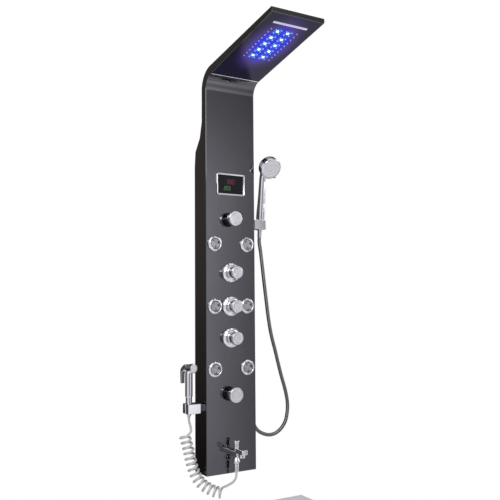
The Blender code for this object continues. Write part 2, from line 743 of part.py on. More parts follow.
def build_riser(manifold_middle, chamber_near, chamber_level):
    """The pipe that takes water up the neck into the head, through a small turbine that powers the lamps."""
    start = height(KNOBS[0][1]) + MANIFOLD_WIDTH / 2 + GAP
    wide = TURBINE_RADIUS
    tall = TURBINE_LENGTH
    turbine = turned("turbine", [(0, 0), (wide, 0), (wide, tall), (0, tall)], 16)
    add("hydro_turbine", turbine, "black_plastic", shift(0, manifold_middle, start))
    middle = (FRONT + NECK_BACK) / 2
    foot = start + TURBINE_LENGTH + GAP
    bend = (FRONT - BEND_RADIUS, height(BEND_HEIGHT))
    radius = BEND_RADIUS + NECK_THICKNESS / 2
    route = [(0, manifold_middle, foot), (0, manifold_middle, foot + 0.04)]
    route += [(0, middle, height(SHOULDER_HEIGHT + 0.06)), (0, middle, height(BEND_HEIGHT))]
    for swing in np.linspace(0, math.pi / 2 - HEAD_RISE, 5)[1:]:
        route.append((0, bend[0] + radius * math.cos(swing), bend[1] + radius * math.sin(swing)))
    for reach in (chamber_near + 0.06, chamber_near + GAP):
        route.append(tuple((head_place() @ shift(0, reach, chamber_level)).translation))
    pipe("riser_pipe", smooth_route(route, 0.028), RISER_RADIUS, "galvanised")


def build_display():
    middle = (0, height(DISPLAY_HEIGHT))
    outer = rounded_rectangle(DISPLAY_WIDTH, DISPLAY_TALL, BEZEL_CORNER, middle)
    wide = DISPLAY_WIDTH - 2 * BEZEL_WIDTH
    tall = DISPLAY_TALL - 2 * BEZEL_WIDTH
    inner = rounded_rectangle(wide, tall, BEZEL_CORNER / 2, middle)
    glass = rounded_rectangle(wide - 2 * GAP, tall - 2 * GAP, BEZEL_CORNER / 2, middle)
    face = FRONT - GAP
    bezel = add("display_bezel", prism("display_bezel", outer, face - BEZEL_THICKNESS, face, "Y"), "chrome")
    combine(bezel, prism("bezel_hole", inner, face - 0.02, face + 0.02, "Y"), "DIFFERENCE")
    lens = prism("display_lens", glass, face - LENS_THICKNESS, face, "Y")
    add("display_lens", lens, "dark_glass")
    module = rounded_rectangle(wide - 4 * GAP, tall - 4 * GAP, BEZEL_CORNER / 2, middle)
    add("display_module", prism("display_module", module, FRONT, FRONT + MODULE_DEPTH, "Y"), "black_plastic")


def knob_profile(cap_radius, cap_start, cap_end, stem_radius, foot):
    """Turned knob with a stem behind its cap and a blind hole that the spindle fits."""
    hole = SPINDLE_RADIUS + GAP
    edge = KNOB_EDGE
    deep = foot + SPINDLE_GRIP + GAP
    return [(0, cap_end), (cap_radius - edge, cap_end), (cap_radius - 0.3 * edge, cap_end - 0.3 * edge),
            (cap_radius, cap_end - edge), (cap_radius, cap_start), (stem_radius, cap_start),
            (stem_radius, foot), (hole, foot), (hole, deep), (0, deep)]


def build_knobs():
    """Five knobs, each on its own spindle that turns in the manifold; the large ones stand on a flange."""
    foot = 2 * GAP
    profile = knob_profile(SMALL_CAP_RADIUS, SMALL_CAP_START, SMALL_CAP_END, SMALL_STEM_RADIUS, foot)
    small = turned("small_knob", profile)
    profile = knob_profile(LARGE_CAP_RADIUS, LARGE_CAP_START, LARGE_CAP_END, LARGE_STEM_RADIUS, foot)
    large = turned("large_knob", profile)
    bottom = -MANIFOLD_FRONT - SPINDLE_SEAT
    spindle = turned("spindle", [(0, bottom), (SPINDLE_RADIUS, bottom), (SPINDLE_RADIUS, foot + SPINDLE_GRIP),
                                 (0, foot + SPINDLE_GRIP)], 12)
    rim = FLANGE_RADIUS
    flange = turned("flange", [
        (FLANGE_BORE, GAP), (rim, GAP), (rim, FLANGE_THICKNESS * 0.3),
        (rim - 0.004, FLANGE_THICKNESS * 0.8), (rim - 0.009, FLANGE_THICKNESS),
        (FLANGE_BORE, FLANGE_THICKNESS)])
    for name, place, is_large in KNOBS:
        seat = facing_out(0, height(place))
        add(f"{name}_knob", large if is_large else small, "chrome", seat)
        add(f"{name}_spindle", spindle, "brass", seat)
        if is_large:
            add(f"{name}_flange", flange, "chrome", seat)


def build_jets():
    """Each jet is a ring clamped in the panel and a ball that tilts inside it."""
    bore = JET_BALL_RADIUS + JET_BALL_CLEARANCE
    rim = JET_RING_RADIUS
    ring = turned("jet_ring", [
        (bore, -JET_NECK_LENGTH), (JET_NECK_RADIUS, -JET_NECK_LENGTH), (JET_NECK_RADIUS, GAP), (rim, GAP),
        (rim, JET_RING_THICKNESS * 0.45), (rim - JET_RING_SLOPE, JET_RING_THICKNESS),
                               (bore, JET_RING_THICKNESS)], JET_SIDES)
    half_angles = np.linspace(math.acos(JET_FACE / JET_BALL_RADIUS), math.radians(165), 5)
    profile = [(0, JET_FACE)]
    profile += [(JET_BALL_RADIUS * math.sin(a), JET_BALL_RADIUS * math.cos(a)) for a in half_angles]
    profile += [(JET_TAIL_RADIUS, -JET_TAIL), (0, -JET_TAIL)]
    ball = turned("jet_ball", profile, JET_SIDES)
    for row, place in zip(("upper", "middle", "lower"), JET_HEIGHTS):
        for side, x in (("left", -JET_SPACING / 2), ("right", JET_SPACING / 2)):
            add(f"{row}_{side}_jet_ring", ring, "chrome", facing_out(x, height(place)))
            add(f"{row}_{side}_jet_ball", ball, "satin_chrome", facing_out(x, height(place), JET_CENTRE))


def build_spout():
    """Tub spout with a lift-up diverter on top and the sprayer hose's outlet below."""
    seat = frame("spout_frame", facing_out(0, height(SPOUT_HEIGHT)))
    edge = 0.002
    barrel = turned("spout_body", [(0, -0.016), (SPOUT_STUB_RADIUS, -0.016), (SPOUT_STUB_RADIUS, GAP),
                                   (BARREL_RADIUS, GAP), (BARREL_RADIUS, BARREL_LENGTH - edge),
                                   (BARREL_RADIUS - edge, BARREL_LENGTH), (0, BARREL_LENGTH)], 20)
    body = add("spout_body", barrel, "chrome", parent=seat)
    half = NOSE_WIDTH / 2
    nose = round_box("nose", (-half, NOSE_LOW, NOSE_START), (half, NOSE_HIGH, NOSE_END), 0.003)
    combine(body, nose, "UNION")
    upright = Matrix.Rotation(math.radians(-90), 4, "X")
    stub_low = -BARREL_RADIUS - HOSE_STUB_LENGTH
    wide = HOSE_STUB_RADIUS
    stub = turned("hose_stub", [(0, stub_low), (wide, stub_low), (wide, 0), (0, 0)], 12)
    collar_top = BARREL_RADIUS + 0.0015
    collar = turned("collar", [(0, 0), (0.0090, 0), (0.0090, collar_top), (0, collar_top)], 16)
    stem_low = 0.002
    hole = DIVERTER_STEM + DIVERTER_CLEARANCE
    bore = turned("stem_bore", [(0, stem_low - GAP), (hole, stem_low - GAP), (hole, 0.04), (0, 0.04)], 12)
    on_axis = shift(0, 0, DIVERTER_PLACE) @ upright
    combine(body, stub, "UNION", on_axis)
    combine(body, collar, "UNION", on_axis)
    combine(body, bore, "DIFFERENCE", on_axis)

    low = collar_top + GAP
    top = low + DIVERTER_TALL
    pull = turned("diverter_knob", [(0, stem_low), (DIVERTER_STEM, stem_low), (DIVERTER_STEM, low),
                                    (DIVERTER_RADIUS - 0.003, low), (DIVERTER_RADIUS, low + 0.004),
                                    (DIVERTER_RADIUS, top - 0.008), (DIVERTER_FLANGE, top - 0.005),
                                    (DIVERTER_FLANGE, top - 0.001), (DIVERTER_FLANGE - 0.001, top),
                                    (0, top)], 20)
    add("diverter_knob", pull, "chrome", on_axis, seat)

    reach = NOSE_LOW - GAP
    ring = AERATOR_RADIUS
    end = reach - AERATOR_LENGTH
    aerator = turned("aerator", [
        (0, end + 0.003), (ring - 0.003, end + 0.003), (ring - 0.002, end), (ring, end + 0.001),
        (ring, reach), (0, reach)], 20)
    add("aerator", aerator, "chrome", shift(0, 0, AERATOR_PLACE) @ upright, seat)

    nut_bore = HOSE_STUB_RADIUS + GAP
    top = -BARREL_RADIUS - 2 * GAP
    wide = SPOUT_NUT_RADIUS
    sleeve = top - SPOUT_NUT_LENGTH
    nut = turned("coil_hose_nut", [
        (0, stub_low - GAP), (nut_bore, stub_low - GAP), (nut_bore, top), (0.66 * wide, top),
        (wide, top - 0.011), (wide, top - 0.015), (0.66 * wide, top - 0.020), (0.63 * wide, sleeve + 0.003),
        (0.47 * wide, sleeve), (0, sleeve)], 20)
    add("coil_hose_nut", nut, "chrome", on_axis, seat)


def build_outlet():
    """Elbow on the panel's right side that feeds the hand shower's hose, and the hose's nut below it."""
    seat = shift(HALF, -OUTLET_DEPTH, height(OUTLET_HEIGHT))
    out = Matrix.Rotation(math.pi / 2, 4, "Y")
    elbow = turned("hose_outlet_elbow", [
        (0, -0.014), (OUTLET_RADIUS - GAP, -0.014), (OUTLET_RADIUS - GAP, GAP), (OUTLET_FLANGE, GAP),
        (OUTLET_FLANGE, 0.003), (OUTLET_RADIUS, 0.004), (OUTLET_RADIUS, OUTLET_REACH),
        (OUTLET_RADIUS * 0.7, OUTLET_REACH + 0.005),
        (0, OUTLET_REACH + 0.006)], 16)
    body = add("hose_outlet_elbow", elbow, "chrome", seat @ out)
    low = -OUTLET_DROP
    down = turned("drop", [(0, low), (OUTLET_RADIUS * 0.9, low), (OUTLET_RADIUS * 0.9, 0), (0, 0)], 16)
    combine(body, down, "UNION", seat @ shift(OUTLET_REACH))
    top = low - GAP
    nut = turned("shower_hose_nut", [
        (0, top), (HOSE_NUT_RADIUS, top), (HOSE_NUT_RADIUS, top - 0.012),
        (0.74 * HOSE_NUT_RADIUS, top - HOSE_NUT_LENGTH), (0, top - HOSE_NUT_LENGTH)], 16)
    add("shower_hose_nut", nut, "chrome", seat @ shift(OUTLET_REACH))


def socket_place(side, centre, lean):
    """Frame at the middle of a socket's bore, its +Z up the bore."""
    middle = shift(side * (HALF + SOCKET_REACH), -SOCKET_DEPTH, height(centre))
    return middle @ Matrix.Rotation(lean, 4, "X")


def build_socket(name, side, centre, lean, hose):
    """A block on a short arm, with a tapered bore and a slot in its end that the hose passes through."""
    z = height(centre)
    half = BLOCK_HEIGHT / 2
    xs = sorted((side * (HALF + BLOCK_NEAR), side * (HALF + BLOCK_FAR)))
    low = (xs[0], -SOCKET_DEPTH - BLOCK_THICKNESS / 2, z - half)
    high = (xs[1], -SOCKET_DEPTH + BLOCK_THICKNESS / 2, z + half)
    holder = add(name, round_box(name, low, high, BLOCK_EDGE), "chrome")
    arm = BLOCK_ARM / 2
    xs = sorted((side * (HALF + GAP), side * (HALF + BLOCK_NEAR + 0.003)))
    arm_box = box("arm", (xs[0], -SOCKET_DEPTH - arm, z - arm), (xs[1], -SOCKET_DEPTH + arm, z + arm))
    combine(holder, arm_box, "UNION")
    place = socket_place(side, centre, lean)
    over = half + 0.006
    slope = (SOCKET_TOP - SOCKET_BOTTOM) / BLOCK_HEIGHT
    middle = (SOCKET_TOP + SOCKET_BOTTOM) / 2
    narrow = middle - slope * over
    wide = middle + slope * over
    bore = turned("socket", [(0, -over), (narrow, -over), (wide, over), (0, over)])
    slot_half = hose + 0.0008
    xs = sorted((0, side * 0.03))
    slot = box("slot", (xs[0], -slot_half, -over), (xs[1], slot_half, over))
    combine(holder, bore, "DIFFERENCE", place)
    combine(holder, slot, "DIFFERENCE", place)


def cone_mesh(hose, tail):
    """Tapered hose end that sits in a socket; its threaded stub goes up into the handpiece."""
    half = BLOCK_HEIGHT / 2
    slope = (SOCKET_TOP - SOCKET_BOTTOM) / BLOCK_HEIGHT
    middle = (SOCKET_TOP + SOCKET_BOTTOM) / 2 - GAP
    foot = -half - CONE_FOOT
    low = -half - 0.002
    return turned("hose_cone", [
        (0, foot - tail), (hose + 0.0012, foot - tail), (hose + 0.0015, foot), (middle + slope * low, low),
        (middle + slope * half, half), (STUB_RADIUS, half), (STUB_RADIUS, half + STUB_HEIGHT),
        (0, half + STUB_HEIGHT)])


def handset_path():
    """Axis of the handle and its curved neck, in the frame of the handle, with the radius at each point."""
    rise = np.linspace(HANDLE_START, HANDLE_START + HANDLE_LENGTH, len(HANDLE_RADII))
    points = [(0, 0, z) for z in rise]
    radii = list(HANDLE_RADII)
    back = (-FACE_FORWARD + 0.026 * math.cos(FACE_TILT), FACE_HEIGHT + 0.026 * math.sin(FACE_TILT))
    top = points[-1][2]
    bend = [(0.04, 0.26), (0.20, 0.55), (0.52, 0.84), (1.0, 1.0)]
    for ahead, up in bend:
        points.append((0, ahead * back[0], top + up * (back[1] - top)))
        radii.append(0.0128 + 0.002 * ahead)
    return points, radii


def build_handset():
    """Hand shower: handle and drum-shaped head in one shell, a selector ring and a spray face."""
    seat = frame("handset_frame", socket_place(1, HANDSET_SOCKET, HANDSET_LEAN))
    points, radii = handset_path()
    bar = pipe("handset_body", points, 1, "chrome", 3, radii)
    body = add("handset_body", as_mesh(bar), "chrome", parent=seat)
    face = shift(0, -FACE_FORWARD, FACE_HEIGHT) @ Matrix.Rotation(math.pi / 2 + FACE_TILT, 4, "X")
    rim = DRUM_RADIUS
    drum = turned("drum", [
        (0, -RING_DEPTH), (rim - 0.001, -RING_DEPTH), (rim - 0.001, -0.021), (rim - 0.005, -0.027),
        (rim * 0.66, -0.033), (rim * 0.3, -DRUM_DEPTH), (0, -DRUM_DEPTH)], 24)
    combine(body, drum, "UNION", face)
    hole = STUB_RADIUS + GAP
    deep = BLOCK_HEIGHT / 2 + STUB_HEIGHT + GAP
    combine(body, turned("thread", [(0, 0), (hole, 0), (hole, deep), (0, deep)], 24), "DIFFERENCE")
    bore = rim - RING_WALL
    ring = turned("selector_ring", [
        (bore, GAP - RING_DEPTH), (rim, GAP - RING_DEPTH), (rim, -0.002), (rim - 0.002, 0), (bore, 0)], 24)
    selector = add("selector_ring", ring, "chrome", face, seat)
    tab = round_box("tab", (-0.004, -rim - 0.004, -0.007), (0.004, -bore - 0.001, -0.002), 0.001, 1)
    combine(selector, tab, "UNION", face @ Matrix.Rotation(math.radians(40), 4, "Z"))
    disc = bore - GAP
    plate = turned("handset_face", [
        (0, GAP - RING_DEPTH), (disc, GAP - RING_DEPTH), (disc, -0.002), (disc - 0.002, -0.0005),
        (0, -0.0005)], 24)
    add("handset_face", plate, "satin_chrome", face, seat)
    add("handset_hose_cone", cone_mesh(HOSE_RADIUS, HANDSET_TAIL), "chrome", parent=seat)


def build_sprayer():
    """Trigger sprayer: neck, grip and a short horizontal head, with a lever that hangs behind the grip."""
    seat = frame("sprayer_frame", socket_place(-1, SPRAYER_SOCKET, 0) @ Matrix.Rotation(SPRAYER_TURN, 4, "Z"))
    foot = BLOCK_HEIGHT / 2 + 2 * GAP
    hole = STUB_RADIUS + GAP
    deep = BLOCK_HEIGHT / 2 + STUB_HEIGHT + GAP
    grip = turned("sprayer_body", [
        (0, deep), (hole, deep), (hole, foot), (NECK_RADIUS, foot), (NECK_RADIUS, NECK_TOP),
        (GRIP_RADIUS, NECK_TOP + 0.003), (GRIP_RADIUS, GRIP_TOP - 0.004), (GRIP_RADIUS - 0.002, GRIP_TOP),
        (0, GRIP_TOP + 0.004)])
    body = add("sprayer_body", grip, "chrome", parent=seat)
    level = shift(0, 0, SPRAY_AXIS) @ Matrix.Rotation(math.pi / 2, 4, "X")
    rim = SPRAY_RADIUS
    front = SPRAY_FRONT
    recess = front - SPRAY_FACE_THICKNESS
    seat_radius = SPRAY_FACE_RADIUS + GAP
    head = turned("spray_head", [
        (0, recess), (seat_radius, recess), (seat_radius, front), (rim - 0.001, front), (rim, front - 0.002),
        (rim, front - 0.010), (SPRAY_BACK_RADIUS + 0.002, 0), (SPRAY_BACK_RADIUS, -SPRAY_BACK),
        (0, -SPRAY_BACK)])
    combine(body, head, "UNION", level)
    face = turned("sprayer_face", [
        (0, recess + GAP), (SPRAY_FACE_RADIUS, recess + GAP), (SPRAY_FACE_RADIUS, front - 0.0006),
        (0, front + 0.0004)])
    add("sprayer_face", face, "satin_chrome", level, seat)
    back = SPRAY_BACK + 0.0008
    lever = [(back + 0.003, 0.1335), (back, 0.142), (back, 0.150), (0.016, 0.1515), (0.030, 0.141),
             (0.0355, 0.133), (0.0365, 0.122), (0.0350, 0.086), (0.0310, 0.084), (0.0300, 0.118),
             (0.0270, 0.126), (0.0180, 0.132)]
    trigger = prism("sprayer_trigger", lever, -TRIGGER_WIDTH / 2, TRIGGER_WIDTH / 2)
    add("sprayer_trigger", trigger, "chrome", parent=seat)
    add("sprayer_hose_cone", cone_mesh(COIL_TUBE_RADIUS, SPRAYER_TAIL), "chrome", parent=seat)


def carried(route, start, end):
    """A route moved by start at its first point and by end at its last. One that hangs below the panel
    changes over there, once it is clear of the bottom edge; any other changes over evenly."""
    route = np.array(route)
    lowest = route[:, 2].min()
    part = np.linspace(0, 1, len(route))
    if lowest < 0:
        part = np.clip((route[:, 2] + HOSE_SWING) / (lowest + HOSE_SWING), 0, 1)
    share = (part * part * (3 - 2 * part))[:, None]
    return route - (0, 0, MOUNT_HEIGHT) + (1 - share) * np.array(start) + share * np.array(end)


def end_shift(place, point):
    """How far the face a hose meets lies from the route's own end point; place is that face's middle."""
    return np.array(place) - (point[0], point[1], height(point[2]))


def build_hoses():
    """The hand shower's smooth hose, and the sprayer's: two plain ends and the outer shape of its coil."""
    below = -BLOCK_HEIGHT / 2 - CONE_FOOT - GAP
    socket = socket_place(1, HANDSET_SOCKET, HANDSET_LEAN) @ shift(0, 0, below - HANDSET_TAIL)
    socket = end_shift(socket.translation, SHOWER_HOSE_ROUTE[0])
    nut_end = height(OUTLET_HEIGHT) - OUTLET_DROP - HOSE_NUT_LENGTH - 2 * GAP
    outlet = end_shift((HALF + OUTLET_REACH, -OUTLET_DEPTH, nut_end), SHOWER_HOSE_ROUTE[-1])
    sprayer = socket_place(-1, SPRAYER_SOCKET, 0) @ shift(0, 0, below - SPRAYER_TAIL)
    sprayer = end_shift(sprayer.translation, COIL_TOP_ROUTE[0])
    nut_end = height(SPOUT_HEIGHT) - BARREL_RADIUS - SPOUT_NUT_LENGTH - 3 * GAP
    spout = end_shift((0, FRONT - DIVERTER_PLACE, nut_end), COIL_END_ROUTE[-1])
    hoses = [
        ("shower_hose", SHOWER_HOSE_ROUTE, socket, outlet, HOSE_RADIUS, 0.035, HOSE_LEAD, "hose_steel", 2),
        ("coil_hose_top", COIL_TOP_ROUTE, sprayer, sprayer, COIL_TUBE_RADIUS, 0.009, 0.006, "hose_grey", 2),
        ("coil_hose", COIL_ROUTE, sprayer, spout, COIL_RADIUS, 0.026, 0, "hose_grey", 3),
        ("coil_hose_end", COIL_END_ROUTE, spout, spout, COIL_TUBE_RADIUS, 0.009, 0.006, "hose_grey", 2),
    ]
    for name, route, start, end, radius, spacing, lead, finish, resolution in hoses:
        pipe(name, smooth_route(carried(route, start, end), spacing, lead), radius, finish, resolution)


clear_scene()
build_shell()
build_rear_cover()
near, level = build_head()
build_brackets()
build_riser(build_manifold(), near, level)
build_display()
build_knobs()
build_jets()
build_spout()
build_outlet()
build_socket("handset_holder", 1, HANDSET_SOCKET, HANDSET_LEAN, HOSE_RADIUS)
build_socket("sprayer_holder", -1, SPRAYER_SOCKET, 0, COIL_TUBE_RADIUS)
build_handset()
build_sprayer()
build_hoses()
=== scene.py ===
"""Rainfall shower column: a folded black steel panel that hangs on a wall, with an overhead rain head,
a temperature display, chrome knobs and body jets, a tub spout, and a hand shower and a trigger
sprayer on flexible hoses. Metres; the wall is the plane Y = 0, +X is right seen from the front, +Z up.
"""

import json
import math

import bmesh
import bpy
import numpy as np
from mathutils import Matrix

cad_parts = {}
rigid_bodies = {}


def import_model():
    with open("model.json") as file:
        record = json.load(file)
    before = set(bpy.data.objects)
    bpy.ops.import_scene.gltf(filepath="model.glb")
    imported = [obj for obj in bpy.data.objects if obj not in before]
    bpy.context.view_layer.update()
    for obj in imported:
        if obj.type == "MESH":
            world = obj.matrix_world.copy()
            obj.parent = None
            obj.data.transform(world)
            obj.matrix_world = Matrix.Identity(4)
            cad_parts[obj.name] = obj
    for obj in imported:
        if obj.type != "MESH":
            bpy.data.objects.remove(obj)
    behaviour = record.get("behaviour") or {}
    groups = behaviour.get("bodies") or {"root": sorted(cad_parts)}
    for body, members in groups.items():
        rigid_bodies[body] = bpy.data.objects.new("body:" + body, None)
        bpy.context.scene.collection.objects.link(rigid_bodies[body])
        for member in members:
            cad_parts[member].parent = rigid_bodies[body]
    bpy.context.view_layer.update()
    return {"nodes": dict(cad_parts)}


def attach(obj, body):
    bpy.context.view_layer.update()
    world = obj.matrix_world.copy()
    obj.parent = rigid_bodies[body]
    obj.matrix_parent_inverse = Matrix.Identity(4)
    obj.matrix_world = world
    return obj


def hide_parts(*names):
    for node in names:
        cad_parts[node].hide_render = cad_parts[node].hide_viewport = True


for leftover in list(bpy.data.objects):
    bpy.data.objects.remove(leftover, do_unlink=True)
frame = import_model()


# ---------------------------------------------------------------- studio
# A pale floor well below the hung panel, two area lights in front of it, a room of soft boxes that the
# chrome mirrors, and a camera to the left of the panel and a little below its middle.

class Value:
    """One output of a shader node. + - * / ** < on it add the Math nodes that they stand for."""

    def __init__(self, nodes, socket):
        self.nodes = nodes
        self.socket = socket

    def maths(self, operation, *others):
        """The Math node of an operation, with this value on its first socket and the others after it."""
        return self.nodes.node("ShaderNodeMath", {"operation": operation}, dict(enumerate((self, *others))))

    def behind(self, operation, first):
        """The same with this value second, for first - value and first / value."""
        return self.nodes.node("ShaderNodeMath", {"operation": operation}, {0: first, 1: self})

    def __add__(self, other):
        return self.maths("ADD", other)

    __radd__ = __add__

    def __sub__(self, other):
        return self.maths("SUBTRACT", other)

    def __rsub__(self, other):
        return self.behind("SUBTRACT", other)

    def __mul__(self, other):
        return self.maths("MULTIPLY", other)

    __rmul__ = __mul__

    def __truediv__(self, other):
        return self.maths("DIVIDE", other)

    def __rtruediv__(self, other):
        return self.behind("DIVIDE", other)

    def __pow__(self, other):
        return self.maths("POWER", other)

    def __lt__(self, other):
        return self.maths("LESS_THAN", other)

    def bell(self, middle, width):
        """exp(-((value - middle) / width) squared): 1 at the middle, fading to both sides."""
        away = (self - middle) / width
        return (0 - away * away).maths("EXPONENT")

    def ramp(self, low, high):
        """0 below low, 1 above high and a smooth step between them."""
        settings = {"interpolation_type": "SMOOTHSTEP"}
        return self.nodes.node("ShaderNodeMapRange", settings, {0: self, 1: low, 2: high, 3: 0.0, 4: 1.0})


class Nodes:
    """A node tree, and the one method that adds a node to it."""

    def __init__(self, tree):
        self.tree = tree

    def node(self, kind, settings=(), inputs=(), output=0):
        """Add a node: its settings first, then values or links on its sockets. Gives one of its outputs."""
        made = self.tree.nodes.new(kind)
        for name, value in dict(settings).items():
            setattr(made, name, value)
        for name, value in dict(inputs).items():
            self.put(made.inputs[name], value)
        return Value(self, made.outputs[output])

    def put(self, socket, value):
        """Link a value to a socket or set it there. Three numbers on a colour socket are opaque."""
        if isinstance(value, Value):
            self.tree.links.new(value.socket, socket)
        elif isinstance(value, tuple) and len(value) == 3 and socket.type == "RGBA":
            socket.default_value = (*value, 1)
        else:
            socket.default_value = value

    def split(self, vector):
        """The x, y and z of a vector."""
        made = self.node("ShaderNodeSeparateXYZ", {}, {0: vector})
        outputs = made.socket.node.outputs
        return [Value(self, outputs[k]) for k in range(3)]

    def mix(self, factor, first, second):
        """A colour: (1 - factor) * first + factor * second."""
        return self.node("ShaderNodeMix", {"data_type": "RGBA"}, {0: factor, 6: first, 7: second}, 2)


class Finish(Nodes):
    """A material of one Principled shader. Constants go on the shader's own sockets."""

    def __init__(self, name, **constants):
        self.material = bpy.data.materials.new(name)
        self.material.use_nodes = True
        super().__init__(self.material.node_tree)
        self.shader = self.tree.nodes["Principled BSDF"]
        self.feed(**constants)
        self.place = self.node("ShaderNodeTexCoord", output="Object")

    def feed(self, **sockets):
        """Put values on the shader's sockets. An underscore in a name stands for a space."""
        for name, value in sockets.items():
            self.put(self.shader.inputs[name.replace("_", " ")], value)

    def mottled(self, cloud, dark, light, rough, spread):
        """Colour (1 - cloud) * dark + cloud * light and roughness rough + spread * cloud."""
        self.feed(Base_Color=self.mix(cloud, dark, light), Roughness=rough + cloud * spread)

    def noise(self, scale, detail=3.0, stretch=None):
        """Cloudy noise on the piece's own coordinates, stretched by a factor along each axis if given."""
        place = self.place
        if stretch:
            place = self.node("ShaderNodeMapping", {}, {"Vector": place, "Scale": stretch})
        return self.node("ShaderNodeTexNoise", {}, {"Vector": place, "Scale": scale, "Detail": detail})

    def bump(self, relief, distance, strength=1.0):
        """Tilt the surface as if it stood relief * distance proud, by strength."""
        inputs = {"Height": relief, "Distance": distance, "Strength": strength}
        self.feed(Normal=self.node("ShaderNodeBump", {}, inputs))


CAMERA = (-1.24688, -2.2723, -0.38369)
YAW, PITCH, ROLL = 0.545444, 0.0652685, -0.0069522
LENS, SENSOR = 50.894, 36.0
ahead = np.array([math.sin(YAW) * math.cos(PITCH), math.cos(YAW) * math.cos(PITCH), math.sin(PITCH)])
level = np.array([math.cos(YAW), -math.sin(YAW), 0.0])
above = np.cross(level, ahead)
across = level * math.cos(ROLL) + above * math.sin(ROLL)
upward = above * math.cos(ROLL) - level * math.sin(ROLL)
camera = bpy.data.objects.new("camera", bpy.data.cameras.new("camera"))
camera.data.lens = LENS
camera.data.sensor_width = SENSOR
turn = np.eye(4)
turn[:3, 0], turn[:3, 1], turn[:3, 2] = across, upward, -ahead
turn[:3, 3] = CAMERA
camera.matrix_world = Matrix(turn.tolist())
bpy.context.scene.collection.objects.link(camera)
bpy.context.scene.camera = camera
bpy.context.scene.view_settings.view_transform = "Standard"

FLOOR, FLOOR_HALF = -1.55, 1.2
floor_mesh = bpy.data.meshes.new("floor")
floor_corners = [(x * FLOOR_HALF, y * FLOOR_HALF, FLOOR) for x, y in ((-1, -1), (1, -1), (1, 1), (-1, 1))]
floor_mesh.from_pydata(floor_corners, [], [(0, 1, 2, 3)])
floor = bpy.data.objects.new("floor", floor_mesh)
bpy.context.scene.collection.objects.link(floor)
floor_paint = Finish("pale_floor", Roughness=0.7)
floor_paint.feed(Base_Color=floor_paint.mix(floor_paint.noise(3.0), (0.78, 0.78, 0.78), (0.84, 0.84, 0.84)))
floor_mesh.materials.append(floor_paint.material)

LAMPS_AIM = np.array([0.0, 0.0, -0.4])
for name, place, size, power in (("key_light", (-1.7, -2.6, 1.4), 1.8, 55),
                                 ("side_light", (2.2, -1.6, 0.6), 1.2, 14)):
    lamp = bpy.data.lights.new(name, "AREA")
    lamp.size = size
    lamp.energy = power
    holder = bpy.data.objects.new(name, lamp)
    holder.location = place
    toward = LAMPS_AIM - np.array(place)
    holder.rotation_euler = (math.pi - math.acos(toward[2] / np.linalg.norm(toward)), 0,
                             math.atan2(toward[1], toward[0]) - math.pi / 2)
    bpy.context.scene.collection.objects.link(holder)

world = bpy.data.worlds.new("studio")
world.use_nodes = True
bpy.context.scene.world = world
room = Nodes(world.node_tree)
background = world.node_tree.nodes["Background"]
# The room by direction, with east, north and high each from -1 to 1 and the panel facing south: a soft
# box in front and to the right, a wide one on the left, a bright ceiling and some light off the floor.
east, north, high = room.split(room.node("ShaderNodeTexCoord", output="Generated"))
in_front = north < 0.0
front_box = east.bell(0.38, 0.16) * (0.42 + 0.58 * high.ramp(-0.4, 0.08)) * (1 - high.ramp(0.1, 0.36))
front_box = front_box * in_front
left_box = (0 - east).ramp(0.25, 0.75) * (0 - north).ramp(-0.1, 0.5)
ceiling = high.ramp(0.55, 0.95)
bounce = (0 - high).ramp(0.35, 0.75)
dark_corner = (north - 0.55 * east).ramp(0.55, 1.05) * (1 - high.maths("ABSOLUTE").ramp(0.35, 0.8))
# Then the room is dimmed just right of the front box, behind the panel and in its warm dark corner, and
# a bright strip is added at the far right.
glow = 0.24 + 1.15 * front_box + 0.6 * left_box + 0.8 * ceiling + 0.55 * bounce
glow = glow * (1 - 0.62 * east.ramp(0.44, 0.6) * in_front * (1 - high.ramp(0.4, 0.8)))
behind = north.ramp(0.15, 0.55) * high.ramp(-0.35, 0.0) * (1 - high.ramp(0.82, 0.96))
glow = glow * (1 - 0.82 * behind)
glow = glow + 0.75 * east.ramp(0.7, 0.92) * (1 - high.maths("ABSOLUTE").ramp(0.4, 0.7))
glow = glow * (1 - dark_corner) + dark_corner * (0.02 + 0.13 * high.ramp(-0.3, 0.15))
lit = room.mix(dark_corner, (0.96, 0.96, 1.0), (1.0, 0.86, 0.8))
shade = room.node("ShaderNodeVectorMath", {"operation": "SCALE"}, {0: lit, "Scale": glow})
seen = room.node("ShaderNodeLightPath", output="Is Camera Ray")
room.put(background.inputs["Color"], room.mix(seen, shade, (1.0, 1.0, 1.0)))


# ---------------------------------------------------------------- shower hose
# A 14 mm stainless steel hose of wound strip over a rubber core. It drops from the cone in the hand
# shower's socket, hangs in one long loop and rises beside the panel to the nut on the outlet elbow.

def height(value):
    """World Z of a height measured up from the panel's bottom edge."""
    return value - 1.0


